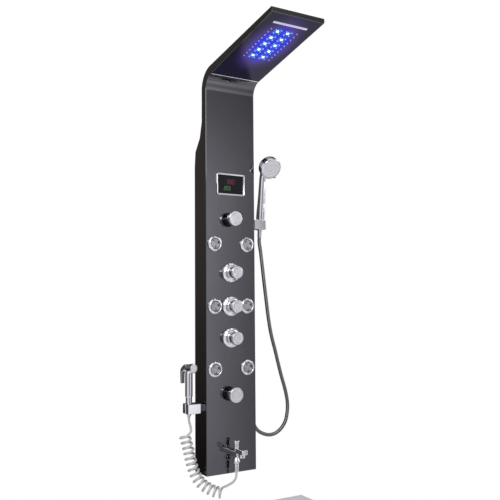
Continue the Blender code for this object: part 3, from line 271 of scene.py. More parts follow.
def skin(name, grids, finish, body, replaces=(), closed=True, sharp=38):
    """One mesh from several grids of points, each of rows by columns: every four neighbours make a face,
    equal points are welded, and corners that fall together are dropped. Rides on a body."""
    points, faces, start = [], [], 0
    for grid in grids:
        rows, columns = grid.shape[:2]
        index = start + np.arange(rows * columns).reshape(rows, columns)
        quads = np.stack([index[:-1, :-1], index[:-1, 1:], index[1:, 1:], index[1:, :-1]], axis=-1)
        points.append(grid.reshape(-1, 3))
        faces.append(quads.reshape(-1, 4))
        start += rows * columns
    points, faces = np.vstack(points), np.vstack(faces)
    _, first, weld = np.unique(np.round(points, 7), axis=0, return_index=True, return_inverse=True)
    faces = weld.reshape(-1)[faces]
    keep = faces != np.roll(faces, 1, axis=1)
    faces, keep = faces[keep.sum(axis=1) > 2], keep[keep.sum(axis=1) > 2]
    sizes = keep.sum(axis=1)
    mesh = bpy.data.meshes.new(name)
    mesh.vertices.add(len(first))
    mesh.vertices.foreach_set("co", points[first].astype(np.float32).ravel())
    mesh.loops.add(int(sizes.sum()))
    mesh.loops.foreach_set("vertex_index", faces[keep].astype(np.int32))
    mesh.polygons.add(len(faces))
    mesh.polygons.foreach_set("loop_start", np.concatenate([[0], np.cumsum(sizes)[:-1]]).astype(np.int32))
    mesh.update(calc_edges=True)
    mesh.validate()
    if closed:
        work = bmesh.new()
        work.from_mesh(mesh)
        bmesh.ops.recalc_face_normals(work, faces=work.faces)
        work.to_mesh(mesh)
        work.free()
    return settle(name, mesh, finish, body, replaces, sharp)


def settle(name, mesh, finish, body, replaces=(), sharp=38):
    """Link a finished mesh as a piece: smooth but for its sharp edges, with its finish and body."""
    mesh.shade_smooth()
    mesh.set_sharp_from_angle(angle=math.radians(sharp))
    mesh.materials.clear()
    mesh.materials.append(finish.material)
    piece = bpy.data.objects.new(name, mesh)
    bpy.context.scene.collection.objects.link(piece)
    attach(piece, body)
    if replaces:
        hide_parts(*replaces)
    return piece


def unit(vectors):
    """Each vector over its own length."""
    return vectors / np.linalg.norm(vectors, axis=-1, keepdims=True)


def smooth_path(points, spacing):
    """Evenly spaced points on a centripetal Catmull-Rom curve: each point between two of the given ones
    is a blend of blends of its four nearest, weighted by the square roots of the gaps between them."""
    points = np.array(points, float)
    padded = np.vstack([2 * points[0] - points[1], points, 2 * points[-1] - points[-2]])
    knots = np.concatenate([[0], np.cumsum(np.linalg.norm(np.diff(padded, axis=0), axis=1) ** 0.5)])
    fine = []
    for k in range(1, len(padded) - 2):
        t0, t1, t2, t3 = knots[k - 1:k + 3]
        p0, p1, p2, p3 = padded[k - 1:k + 3]
        t = np.linspace(t1, t2, 24, endpoint=False)[:, None]
        a1 = (t1 - t) / (t1 - t0) * p0 + (t - t0) / (t1 - t0) * p1
        a2 = (t2 - t) / (t2 - t1) * p1 + (t - t1) / (t2 - t1) * p2
        a3 = (t3 - t) / (t3 - t2) * p2 + (t - t2) / (t3 - t2) * p3
        b1 = (t2 - t) / (t2 - t0) * a1 + (t - t0) / (t2 - t0) * a2
        b2 = (t3 - t) / (t3 - t1) * a2 + (t - t1) / (t3 - t1) * a3
        fine.append((t2 - t) / (t2 - t1) * b1 + (t - t1) / (t2 - t1) * b2)
    fine = np.vstack(fine + [points[-1:]])
    along = run_along(fine)
    even = np.linspace(0, along[-1], max(2, round(along[-1] / spacing) + 1))
    return np.stack([np.interp(even, along, fine[:, axis]) for axis in range(3)], axis=1)


def run_along(path):
    """Distance from the first point to each point, the sum of the steps between them."""
    return np.concatenate([[0], np.cumsum(np.linalg.norm(np.diff(path, axis=0), axis=1))])


def frames(path):
    """Two directions across the path at each point, carried along it without twisting: each is the one
    before it with the new tangent's share taken away."""
    tangent = unit(np.gradient(path, axis=0))
    side = np.empty_like(path)
    side[0] = unit(np.cross(tangent[0], (0.3, 1.0, 0.2)))
    for k in range(1, len(path)):
        step = side[k - 1] - tangent[k] * (side[k - 1] @ tangent[k])
        side[k] = step / np.linalg.norm(step)
    return side, np.cross(tangent, side)


def tube(path, radii, around=16, capped=True):
    """A grid of rings: point = path + radius * (cos a * side + sin a * other side). With caps, a first and
    a last ring of no radius close its ends."""
    side, other = frames(path)
    radii = np.broadcast_to(np.asarray(radii, float), len(path)).copy()
    if capped:
        path = np.vstack([path[:1], path, path[-1:]])
        side, other = (np.vstack([s[:1], s, s[-1:]]) for s in (side, other))
        radii = np.concatenate([[0], radii, [0]])
    angle = np.linspace(0, 2 * math.pi, around + 1)
    angle[-1] = 0
    ring = np.cos(angle)[None, :, None] * side[:, None] + np.sin(angle)[None, :, None] * other[:, None]
    return path[:, None] + radii[:, None, None] * ring


def write_length(piece, path):
    """Store as the attribute "run", for each point of the mesh, its nearest path point's distance along."""
    mesh = piece.data
    points = np.empty(len(mesh.vertices) * 3, np.float32)
    mesh.vertices.foreach_get("co", points)
    points = points.reshape(-1, 3)
    along = run_along(path)
    nearest = np.empty(len(points))
    for k in range(0, len(points), 4000):
        gap = ((points[k:k + 4000, None] - path[None]) ** 2).sum(axis=2)
        nearest[k:k + 4000] = along[gap.argmin(axis=1)]
    mesh.attributes.new("run", "FLOAT", "POINT").data.foreach_set("value", nearest.astype(np.float32))


SHOWER_HOSE_ROUTE = [
    (0.148, -0.042, height(0.835)), (0.148, -0.0402, height(0.8205)), (0.154, -0.0398, height(0.782)),
    (0.162, -0.0395, height(0.721)), (0.1735, -0.0384, height(0.635)), (0.1965, -0.0361, height(0.4895)),
    (0.2185, -0.0349, height(0.4115)), (0.2425, -0.0336, height(0.3275)), (0.265, -0.0325, height(0.257)),
    (0.2735, -0.032, height(0.2135)), (0.2715, -0.032, height(0.177)), (0.2625, -0.0309, height(0.1435)),
    (0.243, -0.0297, height(0.119)), (0.219, -0.0286, height(0.105)), (0.193, -0.0274, height(0.102)),
    (0.17, -0.0263, height(0.108)), (0.148, -0.026, height(0.12)), (0.131, -0.026, height(0.14)),
    (0.121, -0.026, height(0.175)), (0.118, -0.026, height(0.23)), (0.1175, -0.026, height(0.35)),
    (0.1175, -0.026, height(0.5)), (0.1178, -0.026, height(0.63)), (0.118, -0.026, height(0.7)),
    (0.118, -0.026, height(0.7214)),
]
SHOWER_HOSE_RADIUS = 0.0067
STRIP_PITCH = 0.0032
HOSE_STEP = 0.004
hose_path = smooth_path(SHOWER_HOSE_ROUTE, HOSE_STEP)
wound_steel = Finish("wound_steel", Metallic=1.0)
run = wound_steel.node("ShaderNodeAttribute", {"attribute_name": "run"}, output="Fac")
wave = ((run * (2 * math.pi / STRIP_PITCH)).maths("SINE") * 0.5 + 0.5) ** 0.5
soil = wound_steel.noise(260.0, 4.0)
wound_steel.feed(Base_Color=wound_steel.mix(wave, (0.05, 0.05, 0.055), (0.26, 0.26, 0.27)),
                 Roughness=0.22 + soil * 0.14)
wound_steel.bump(wave, 0.0005, 0.8)
shower_hose = skin("shower_hose_tube", [tube(hose_path, SHOWER_HOSE_RADIUS, 20)], wound_steel, "panel",
                   ["shower_hose"])
write_length(shower_hose, hose_path)


# ---------------------------------------------------------------- sprayer hose
# An 8 mm grey hose wound into a springy coil. It leaves the cone under the sprayer, winds down in
# about fourteen turns below the panel's corner and comes up into the nut under the tub spout.

COIL_TOP_ROUTE = [
    (-0.148, -0.0475, height(0.2007)), (-0.148, -0.0475, height(0.19)), (-0.1445, -0.049, height(0.175)),
    (-0.143, -0.053, height(0.162)), (-0.1455, -0.058, height(0.1545)), (-0.15, -0.061, height(0.1515)),
]
COIL_ROUTE = [
    (-0.163, -0.045, height(0.143)), (-0.156, -0.045, height(0.115)), (-0.15, -0.0465, height(0.093)),
    (-0.143, -0.049, height(0.06)), (-0.135, -0.052, height(0.027)), (-0.123, -0.057, height(-0.004)),
    (-0.105, -0.064, height(-0.029)), (-0.082, -0.072, height(-0.046)),
    (-0.06, -0.08, height(-0.057)), (-0.038, -0.088, height(-0.061)),
]
COIL_END_ROUTE = [
    (-0.026, -0.09, height(-0.0375)), (-0.017, -0.1, height(-0.033)), (-0.008, -0.109, height(-0.024)),
    (-0.002, -0.115, height(-0.012)), (0.0, -0.117, height(-0.002)), (0.0, -0.117, height(0.0086)),
]
COIL_TUBE_DIAMETER = 0.008
COIL_MIDDLE = 0.0168
TURNS, STEPS_A_TURN = 14, 24
BRAID_PITCH = 0.0022

# The coil winds at COIL_MIDDLE round its line, from the side where the top route meets it to the side
# where the end route leaves it: point = line + COIL_MIDDLE * (cos a * side + sin a * other side).
coil_line = smooth_path(COIL_ROUTE, 0.0006)
side, other = frames(coil_line)
top_arm = np.array(COIL_TOP_ROUTE[-1]) - coil_line[0]
end_arm = np.array(COIL_END_ROUTE[0]) - coil_line[-1]
first = math.atan2(top_arm @ other[0], top_arm @ side[0])
last = math.atan2(end_arm @ other[-1], end_arm @ side[-1])
sweep = (last - first) % (2 * math.pi) + 2 * math.pi * (TURNS - 1)
share = np.linspace(0, 1, STEPS_A_TURN * TURNS + 1)
place = share * (len(coil_line) - 1)
line, side, other = (np.stack([np.interp(place, np.arange(len(coil_line)), values[:, axis])
                               for axis in range(3)], axis=1) for values in (coil_line, side, other))
angle = first + sweep * share
coil_turns = line + COIL_MIDDLE * (np.cos(angle)[:, None] * side + np.sin(angle)[:, None] * other)
coil_path = smooth_path(np.vstack([COIL_TOP_ROUTE[:-1], coil_turns[2:-2], COIL_END_ROUTE[1:]]), 0.0036)
hose_rubber = Finish("grey_hose_rubber", Coat_Roughness=0.2, Metallic=0.0)
run = hose_rubber.node("ShaderNodeAttribute", {"attribute_name": "run"}, output="Fac")
braid = (run * (2 * math.pi / BRAID_PITCH)).maths("SINE") * 0.5 + 0.5
clouds = hose_rubber.noise(90.0, 4.0)
hose_rubber.mottled(clouds, (0.5, 0.49, 0.47), (0.66, 0.65, 0.63), 0.34, 0.15)
hose_rubber.feed(Coat_Weight=0.35)
hose_rubber.bump(braid * 0.6 + clouds * 0.4, 0.00012, 0.5)
coil_hose = skin("sprayer_hose_tube", [tube(coil_path, COIL_TUBE_DIAMETER / 2, 16)], hose_rubber, "panel",
                 ["coil_hose_top", "coil_hose", "coil_hose_end"])
write_length(coil_hose, coil_path)


# ---------------------------------------------------------------- front shell
# One folded sheet of 1.5 mm steel, black chrome plated: the face, both sides, the bottom and the curved
# neck that runs out into the rim of the head. Corners are folded, and holes are punched for the fittings.

HALF = 0.1
FRONT = -0.086
SHEET = 0.0015
FOLD = 0.0025
GAP = 0.0003
NECK_BACK = -0.056
SHOULDER = height(1.133)
SHOULDER_RISE = 0.117
NECK_FOOT = height(1.25)
BEND = height(1.349)
BEND_RADIUS = 0.048
BACK_BEND_RADIUS = 0.075
HEAD_LENGTH = 0.406
HEAD_RIM = 0.004
TIP_THICKNESS = 0.016
RISE = math.radians(12)
TOP_RISE = math.radians(10)
head_ahead = np.array([-math.cos(RISE), math.sin(RISE)])
head_up = np.array([math.sin(RISE), math.cos(RISE)])
head_start = np.array([FRONT - BEND_RADIUS + BEND_RADIUS * math.sin(RISE),
                       BEND + BEND_RADIUS * math.cos(RISE)])
low_tip = head_start + HEAD_LENGTH * head_ahead
top_tip = low_tip + TIP_THICKNESS * head_up
DISPLAY = height(1.016)
DISPLAY_WIDTH, DISPLAY_TALL, BEZEL_WIDTH = 0.114, 0.078, 0.0055
# Each knob's height, and whether it is one of the large ones.
KNOBS = {"rain": (height(0.891), False), "waterfall": (height(0.7), True), "mixer": (height(0.581), True),
         "jets": (height(0.47), True), "handset": (height(0.273), False)}
JETS = {"upper": height(0.802), "middle": height(0.5815), "lower": height(0.3625)}
JET_X = 0.0655
SPOUT = height(0.0735)
OUTLET = height(0.77)
SPINDLE_HOLE, JET_HOLE, PIPE_HOLE = 0.006, 0.0218, 0.0093
PUNCH = 0.005


def arc(centre, radius, start, end, steps):
    """(y, z) points centre + radius * (cos a, sin a) for a from start to end in degrees."""
    a = np.radians(np.linspace(start, end, steps + 1))
    return np.array(centre) + radius * np.stack([np.cos(a), np.sin(a)], axis=1)


def line_to(start, end, steps):
    """Evenly spaced points on the straight line between two."""
    return np.linspace(start, end, steps + 1)


def turned_in(points):
    """For each point of a (y, z) run, the unit direction a quarter turn clockwise from its tangent."""
    tangent = unit(np.gradient(points, axis=0))
    return np.stack([tangent[:, 1], -tangent[:, 0]], axis=1)


def holes_cut(piece, cutters):
    """Solid difference of a piece and the closed meshes in cutters, applied to its mesh."""
    work = bmesh.new()
    for cutter in cutters:
        work.from_mesh(cutter)
    tool_mesh = bpy.data.meshes.new("tool")
    work.to_mesh(tool_mesh)
    work.free()
    tool = bpy.data.objects.new("tool", tool_mesh)
    bpy.context.scene.collection.objects.link(tool)
    step = piece.modifiers.new("holes", "BOOLEAN")
    step.operation = "DIFFERENCE"
    step.object = tool
    graph = bpy.context.evaluated_depsgraph_get()
    made = bpy.data.meshes.new_from_object(piece.evaluated_get(graph))
    piece.modifiers.clear()
    piece.data = made
    bpy.data.objects.remove(tool, do_unlink=True)
    made.shade_smooth()
    made.set_sharp_from_angle(angle=math.radians(30))


def put(grid, place):
    """Move a grid of points by a 4 x 4 placing matrix."""
    place = np.array(place)
    return grid @ place[:3, :3].T + place[:3, 3]


def facing(x, z, off=0.0):
    """Frame on the panel's face: +Z points out of the panel, +Y up."""
    return Matrix.Translation((x, FRONT - off, z)) @ Matrix.Rotation(math.pi / 2, 4, "X")


def eased(profile, steps=5):
    """A profile of (radius, z, easing) corners with each corner rounded: between the points one easing
    before and after it, a parabola (1 - u)^2 start + 2u(1 - u) corner + u^2 end, held flat at both ends."""
    corners = [np.array(point[:2], float) for point in profile]
    points = []
    u = np.linspace(0, 1, steps + 1)[:, None]
    for k, corner in enumerate(corners):
        easing = profile[k][2] if len(profile[k]) > 2 else 0
        if not easing or k in (0, len(corners) - 1):
            points.append(corner[None])
            continue
        back, on = corners[k - 1] - corner, corners[k + 1] - corner
        reach_back, reach_on = (min(easing, 0.42 * np.linalg.norm(arm)) for arm in (back, on))
        start, end = corner + reach_back * unit(back), corner + reach_on * unit(on)
        points.append((start + 0.15 * reach_back * unit(back))[None])
        points.append((1 - u) ** 2 * start + 2 * u * (1 - u) * corner + u ** 2 * end)
        points.append((end + 0.15 * reach_on * unit(on))[None])
    return np.vstack(points)


def lathe(profile, place=None, around=64):
    """A grid turned about Z: (r cos a, r sin a, z) for each point (r, z) of the eased profile."""
    profile = eased(profile)
    angle = np.linspace(0, 2 * math.pi, around + 1)
    angle[-1] = 0
    radius, rise = profile[:, :1], profile[:, 1:]
    grid = np.stack([radius * np.cos(angle), radius * np.sin(angle), rise + 0 * angle], axis=-1)
    return grid if place is None else put(grid, place)


def bar_mesh(radius, low, high, place, sides=48):
    """A closed round bar as a bare mesh, for punching a hole."""
    work = bmesh.new()
    middle = Matrix.Translation((0, 0, (low + high) / 2))
    bmesh.ops.create_cone(work, cap_ends=True, segments=sides, radius1=radius, radius2=radius,
                          depth=high - low, matrix=place @ middle)
    mesh = bpy.data.meshes.new("bar")
    work.to_mesh(mesh)
    work.free()
    return mesh


def block_mesh(low, high, edge=0.0, steps=3):
    """A closed block between two corners, with all its edges rounded."""
    work = bmesh.new()
    bmesh.ops.create_cube(work, size=1)
    size = np.array(high) - np.array(low)
    middle = (np.array(high) + np.array(low)) / 2
    bmesh.ops.scale(work, vec=size.tolist(), verts=work.verts)
    bmesh.ops.translate(work, vec=middle.tolist(), verts=work.verts)
    if edge:
        bmesh.ops.bevel(work, geom=list(work.edges), offset=edge, segments=steps, profile=0.5, affect="EDGES")
    mesh = bpy.data.meshes.new("block")
    work.to_mesh(mesh)
    work.free()
    return mesh


black_steel = Finish("black_chrome_steel", Metallic=1.0, Coat_Roughness=0.04, Coat_IOR=1.5)
haze = black_steel.noise(5.0, 4.0)
grain = black_steel.noise(900.0, 2.0, (1.0, 1.0, 0.04))
wipe = black_steel.noise(36.0, 5.0, (1.0, 1.0, 0.22))
black_steel.feed(Base_Color=black_steel.mix(haze, (0.112, 0.109, 0.122), (0.146, 0.143, 0.158)),
                 Roughness=0.05 + wipe * 0.06 + grain * 0.02, Coat_Weight=0.25 + haze * 0.1)
black_steel.bump(haze * 0.9 + grain * 0.02, 0.0016, 0.28)

# The outer skin is a strip: point = path + inset * inward at each x of its columns, whose first and last
# seven turn the folds. The path runs from the wall along the bottom, up the face, round the bend and out
# to the tip. Past the bend only a rim is left on each side of the head's plate.
bottom_run = np.vstack([line_to((0.0, height(0)), (FRONT + FOLD, height(0)), 4),
                        arc((FRONT + FOLD, height(0) + FOLD), FOLD, 270, 180, 6)[1:],
                        line_to((FRONT, height(0) + FOLD), (FRONT, BEND), 24)[1:],
                        arc((FRONT - BEND_RADIUS, BEND), BEND_RADIUS, 0, 78, 40)[1:]])
rim_end = head_start + (HEAD_LENGTH - HEAD_RIM) * head_ahead
rim_run = line_to(head_start, rim_end, 8)
corner = low_tip - FOLD * head_ahead + FOLD * head_up
tip_run = np.vstack([rim_end[None], (low_tip - FOLD * head_ahead)[None],
                     arc(corner, FOLD, -78, -168, 6)[1:], top_tip[None]])
path = np.vstack([bottom_run, rim_run[1:], tip_run[1:]])
inward = turned_in(path)
inward[:5] = (0, 1)
inward[path[:, 0] == FRONT] = (1, 0)
inward[len(bottom_run) - 1:len(bottom_run) + len(rim_run)] = head_up
for centre, run in (((FRONT + FOLD, height(0) + FOLD), slice(4, 11)), (corner, slice(-8, -1))):
    inward[run] = (np.array(centre) - path[run]) / FOLD
inward[-1] = -head_ahead
ease = np.radians(np.linspace(0, 90, 7))
edge_x, edge_in = FOLD * (1 - np.cos(ease)), FOLD * (1 - np.sin(ease))
columns = np.concatenate([-HALF + edge_x, [HEAD_RIM - HALF], np.linspace(-0.07, 0.07, 5), [HALF - HEAD_RIM],
                          (HALF - edge_x)[::-1]])
inset = np.concatenate([edge_in, np.zeros(7), edge_in[::-1]])
strip = np.empty((len(path), len(columns), 3))
strip[..., 0] = columns
strip[..., 1:] = path[:, None] + inset[None, :, None] * inward[:, None]
first, last = len(bottom_run) - 1, len(bottom_run) + len(rim_run) - 2
rim = len(ease) + 1
sheets = [strip[:first + 1], strip[first:last + 1, :rim], strip[first:last + 1, -rim:], strip[last:]]

# The back edge of the sides: up the wall, round the shoulder, up the neck, round the bend and out.
turn_corner = top_tip[1] - (NECK_BACK - top_tip[0]) * math.tan(TOP_RISE)
tangent = BACK_BEND_RADIUS * math.tan(math.radians(40))
back_bend = np.array([NECK_BACK - BACK_BEND_RADIUS, turn_corner - tangent])
shoulder_turn = 2 * math.atan(-NECK_BACK / SHOULDER_RISE)
shoulder_radius = SHOULDER_RISE / math.sin(shoulder_turn)
shoulder_arc = arc((NECK_BACK + shoulder_radius, NECK_FOOT), shoulder_radius,
                   180 + math.degrees(shoulder_turn), 180, 16)
neck_run = line_to(shoulder_arc[-1], (NECK_BACK, back_bend[1]), 6)
bend_run = arc(back_bend, BACK_BEND_RADIUS, 0, 80, 40)
top_run = line_to(bend_run[-1], top_tip, 12)
back_run = np.vstack([line_to((0.0, height(0) + FOLD), (0.0, SHOULDER), 40), shoulder_arc[1:], neck_run[1:],
                      bend_run[1:], top_run[1:]])


def stations_at(run, marks):
    """Distance along a run of its point nearest to each mark."""
    along = run_along(run)
    return np.array([along[np.argmin(((run - mark) ** 2).sum(axis=1))] for mark in marks])


# Each side is ruled from the front edge to the back edge, point = (1 - u) * front + u * back, with the
# marks paired. The front edge's first rows lie along the bottom edge, so the sides start past them.
front_edge = strip[:, 0, 1:]
front_marks = [(0.0, height(0) + FOLD), (FRONT + FOLD, height(0) + FOLD), (FRONT + FOLD, BEND),
               head_start + FOLD * head_up, low_tip + FOLD * (head_up - head_ahead),
               top_tip - FOLD * head_ahead]
back_marks = [(0.0, height(0) + FOLD), (0.0, height(0) + FOLD), (NECK_BACK, back_bend[1]), bend_run[-1],
              top_tip, top_tip]
BOTTOM_ROWS = 10
partner = np.interp(run_along(front_edge), stations_at(front_edge, front_marks),
                    stations_at(back_run, back_marks))
back_edge = np.stack([np.interp(partner, run_along(back_run), back_run[:, axis]) for axis in range(2)],
                     axis=1)
ruled = np.linspace(0, 1, 5)[None, :, None]
for x in (-HALF, HALF):
    wall = np.empty((len(front_edge), 5, 3))
    wall[..., 0] = x
    wall[..., 1:] = front_edge[:, None] * (1 - ruled) + back_edge[:, None] * ruled
    sheets.append(wall[BOTTOM_ROWS:, ::-1] if x < 0 else wall[BOTTOM_ROWS:])
shell = skin("front_shell_sheet", sheets, black_steel, "panel", ["front_shell"], closed=False,
             sharp=30)
thickness = shell.modifiers.new("sheet", "SOLIDIFY")
thickness.thickness = SHEET
thickness.offset = -1
window_half, window_tall = DISPLAY_WIDTH / 2 - BEZEL_WIDTH, DISPLAY_TALL / 2 - BEZEL_WIDTH
cutters = [block_mesh((-window_half, FRONT - PUNCH, DISPLAY - window_tall),
                      (window_half, FRONT + PUNCH, DISPLAY + window_tall))]
cutters += [bar_mesh(SPINDLE_HOLE, -PUNCH, PUNCH, facing(0, z)) for z, large in KNOBS.values()]
cutters += [bar_mesh(JET_HOLE, -PUNCH, PUNCH, facing(x, z)) for z in JETS.values() for x in (-JET_X, JET_X)]
cutters.append(bar_mesh(PIPE_HOLE, -PUNCH, PUNCH, facing(0, SPOUT)))
out_right = Matrix.Translation((HALF, -0.026, OUTLET)) @ Matrix.Rotation(math.pi / 2, 4, "Y")
cutters.append(bar_mesh(PIPE_HOLE, -PUNCH, PUNCH, out_right))
holes_cut(shell, cutters)


def keep_flats(piece):
    """Weighted normals, so that broad flat faces shade flat right up to their rounded edges."""
    flats = piece.modifiers.new("flats", "WEIGHTED_NORMAL")
    flats.keep_sharp = True
    flats.weight = 100


keep_flats(shell)


# ---------------------------------------------------------------- rear cover
# A formed sheet of the same plated steel that closes the back of the neck and the top of the head. It
# slides in between the two sides and is held by folded tabs.

cover_run = np.vstack([shoulder_arc, neck_run[1:], bend_run[1:], top_run[1:-1],
                       (top_tip - 0.0018 * np.array([-math.cos(TOP_RISE), math.sin(TOP_RISE)]))[None]])
cover_in = -turned_in(cover_run)
reach = HALF - SHEET - GAP
cover_x = np.array([-reach, -0.05, 0.0, 0.05, reach])
outer = np.empty((len(cover_run), 5, 3))
outer[..., 0] = cover_x
outer[..., 1:] = cover_run[:, None]
inner = outer.copy()
inner[..., 1:] = (cover_run + SHEET * cover_in)[:, None]
ring = np.concatenate([outer, inner[:, ::-1], outer[:, :1]], axis=1)
ends = [np.stack([outer[k], inner[k]]) for k in (0, -1)]
skin("rear_cover_sheet", [ring, *ends], black_steel, "panel", ["rear_cover"], sharp=30)


# ---------------------------------------------------------------- rain head
# A flat plate under the head with soft silicone nozzles and, between them, lamps that light it blue; that blue
# on the plate and the nozzles is painted glow in their emission. A bright lip for the waterfall lies near the
# tip, its brightness a painted highlight glow. The plate drops into the rim of the folded shell.

NOZZLE_PITCH_X, NOZZLE_PITCH_Y, FIRST_NOZZLE = 0.0199, 0.0192, 0.149
NOZZLES = [((column - 2.5) * NOZZLE_PITCH_X, -(FIRST_NOZZLE + row * NOZZLE_PITCH_Y))
           for row in range(10) for column in range(6)]
LAMPS = [(side * NOZZLE_PITCH_X, -(FIRST_NOZZLE + (2 * row + 0.5) * NOZZLE_PITCH_Y))
         for row in range(5) for side in (-1, 1)]
head_frame = Matrix.Translation((0, *head_start)) @ Matrix.Rotation(-RISE, 4, "X")


def dress(finish, *names):
    """Give carried-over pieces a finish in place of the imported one."""
    for name in names:
        mesh = frame["nodes"][name].data
        mesh.materials.clear()
        mesh.materials.append(finish.material)


def lamp_light(finish, spot, spread):
    """How near a point is to a lamp: exp(-(distance / spot)^2) to the closest lamp of the 2 by 5 grid,
    and the wide haze between them, exp(-(x / spread)^2 - (run / (1.9 spread))^2) from the grid's middle.
    Both masks paint the lamps' glow into emission."""
    x, y, z = finish.split(finish.place)
    out = (head_start[0] - y) * math.cos(RISE) + (z - head_start[1]) * math.sin(RISE)
    first = FIRST_NOZZLE + 0.5 * NOZZLE_PITCH_Y
    row = ((out - first) / (2 * NOZZLE_PITCH_Y) + 0.5).maths("FLOOR")
    row = row.maths("MAXIMUM", 0.0).maths("MINIMUM", 4.0)
    along = out - first - row * (2 * NOZZLE_PITCH_Y)
    aside = x.maths("ABSOLUTE") - NOZZLE_PITCH_X
    near = (0 - (along * along + aside * aside) / spot ** 2).maths("EXPONENT")
    haze = x.bell(0.0, spread) * out.bell(first + 4 * NOZZLE_PITCH_Y, 1.9 * spread)
    return near, haze


plate_painted_glow = Finish("black_plate_painted_glow", Metallic=1.0, Emission_Strength=1.0)
near, painted_glow_spread = lamp_light(plate_painted_glow, 0.0095, 0.062)
soil = plate_painted_glow.noise(60.0, 4.0)
# Painted glow: the emission paints the lamps' blue light on the plate, a bright spot round each lamp and a
# haze between them.
painted_glow_colour = plate_painted_glow.mix(painted_glow_spread.ramp(0.04, 0.45), (0.005, 0.004, 0.016), (0.055, 0.028, 0.2))
painted_glow_colour = plate_painted_glow.mix(painted_glow_spread.ramp(0.3, 0.66), painted_glow_colour, (0.012, 0.016, 0.62))
painted_glow_colour = plate_painted_glow.mix(near * 0.9, painted_glow_colour, (0.12, 0.42, 1.0))
plate_painted_glow.mottled(soil, (0.022, 0.022, 0.028), (0.04, 0.04, 0.05), 0.16, 0.12)
plate_painted_glow.feed(Emission_Color=painted_glow_colour)
plate_painted_glow.bump(soil, 0.0006, 0.2)
dress(plate_painted_glow, "head_plate")

silicone = Finish("nozzle_silicone_painted_glow", Metallic=0.0, Emission_Strength=1.0)
near, painted_glow_spread = lamp_light(silicone, 0.014, 0.095)
dust = silicone.noise(420.0, 4.0)
silicone.mottled(dust, (0.2, 0.21, 0.24), (0.34, 0.35, 0.38), 0.5, 0.2)
# Painted glow: the emission paints the lamps' blue light on the nozzle tips, brightest in the middle of the
# lamp grid.
silicone.feed(Emission_Color=silicone.mix(painted_glow_spread, (0.03, 0.03, 0.08), (0.34, 0.46, 1.0)))
silicone.bump(dust, 0.0002, 0.4)
nozzle = [(0, -0.0035), (0.0007, -0.0035), (0.00075, -0.0033), (0.00125, -0.00335, 0.0002),
          (0.0018, -0.0006, 0.0003), (0.0018, 0.0022), (0, 0.0022)]
mat_half = 3.3 * NOZZLE_PITCH_X
mat_near, mat_far = NOZZLE_PITCH_Y - FIRST_NOZZLE, -(FIRST_NOZZLE + 10 * NOZZLE_PITCH_Y)
MAT_UNDER, MAT_TOP = 0.0018, 0.0038
mat_edge = np.array([(-mat_half, mat_far), (mat_half, mat_far), (mat_half, mat_near), (-mat_half, mat_near),
                     (-mat_half, mat_far)])
mat_centre = np.array([[0, (mat_near + mat_far) / 2]] * 5)
mat_grid = np.stack([np.column_stack([outline, np.full(5, rise)]) for outline, rise in (
    (mat_centre, MAT_UNDER), (mat_edge, MAT_UNDER), (mat_edge, MAT_TOP), (mat_centre, MAT_TOP))])
tips = [lathe(nozzle, head_frame @ Matrix.Translation((x, y, 0)), 16) for x, y in NOZZLES]
skin("nozzle_tips", tips + [put(mat_grid, head_frame)], silicone, "panel", ["nozzle_mat"])

lamp_glass = Finish("lamp_lens", Roughness=0.12, Emission_Strength=7.0)
sparkle = lamp_glass.noise(300.0, 2.0)
lamp_glass.feed(Base_Color=lamp_glass.mix(sparkle, (0.5, 0.7, 0.9), (0.7, 0.85, 1.0)),
                Emission_Color=lamp_glass.mix(sparkle, (0.34, 0.74, 1.0), (0.62, 0.92, 1.0)))
dome = [(0, -0.001), (0.0022, -0.0009), (0.0034, -0.0005, 0.0004), (0.0041, 0.0004, 0.0005), (0.0042, 0.0047),
        (0, 0.0047)]
domes = [lathe(dome, head_frame @ Matrix.Translation((x, y, 0)), 24) for x, y in LAMPS]
skin("lamp_lenses", domes, lamp_glass, "panel", ["led_board"])

board = Finish("lamp_board", Roughness=0.5)
tracks = board.noise(240.0, 1.0)
board.feed(Base_Color=board.mix(tracks.ramp(0.45, 0.55), (0.02, 0.1, 0.3), (0.05, 0.18, 0.42)))
board_mesh = block_mesh((-mat_half, mat_far, 0.0041), (mat_half, mat_near, 0.0057), 0.0003, 1)
board_mesh.transform(head_frame)
settle("lamp_board_sheet", board_mesh, board, "panel")

black_plastic = Finish("black_moulded_plastic")
stipple = black_plastic.noise(1400.0, 2.0)
black_plastic.mottled(stipple, (0.012, 0.012, 0.013), (0.03, 0.03, 0.032), 0.42, 0.2)
black_plastic.bump(stipple, 0.0001, 0.5)
dress(black_plastic, "rain_chamber", "display_module", "hydro_turbine")

chrome = Finish("bright_chrome", Metallic=1.0)
clouds = chrome.noise(55.0, 4.0)
spots = chrome.noise(700.0, 2.0)
chrome.feed(Base_Color=chrome.mix(clouds, (0.8, 0.8, 0.83), (0.9, 0.9, 0.93)),
            Roughness=0.045 + clouds * 0.04 + spots.ramp(0.62, 0.75) * 0.1)
chrome.bump(clouds, 0.0001, 0.25)
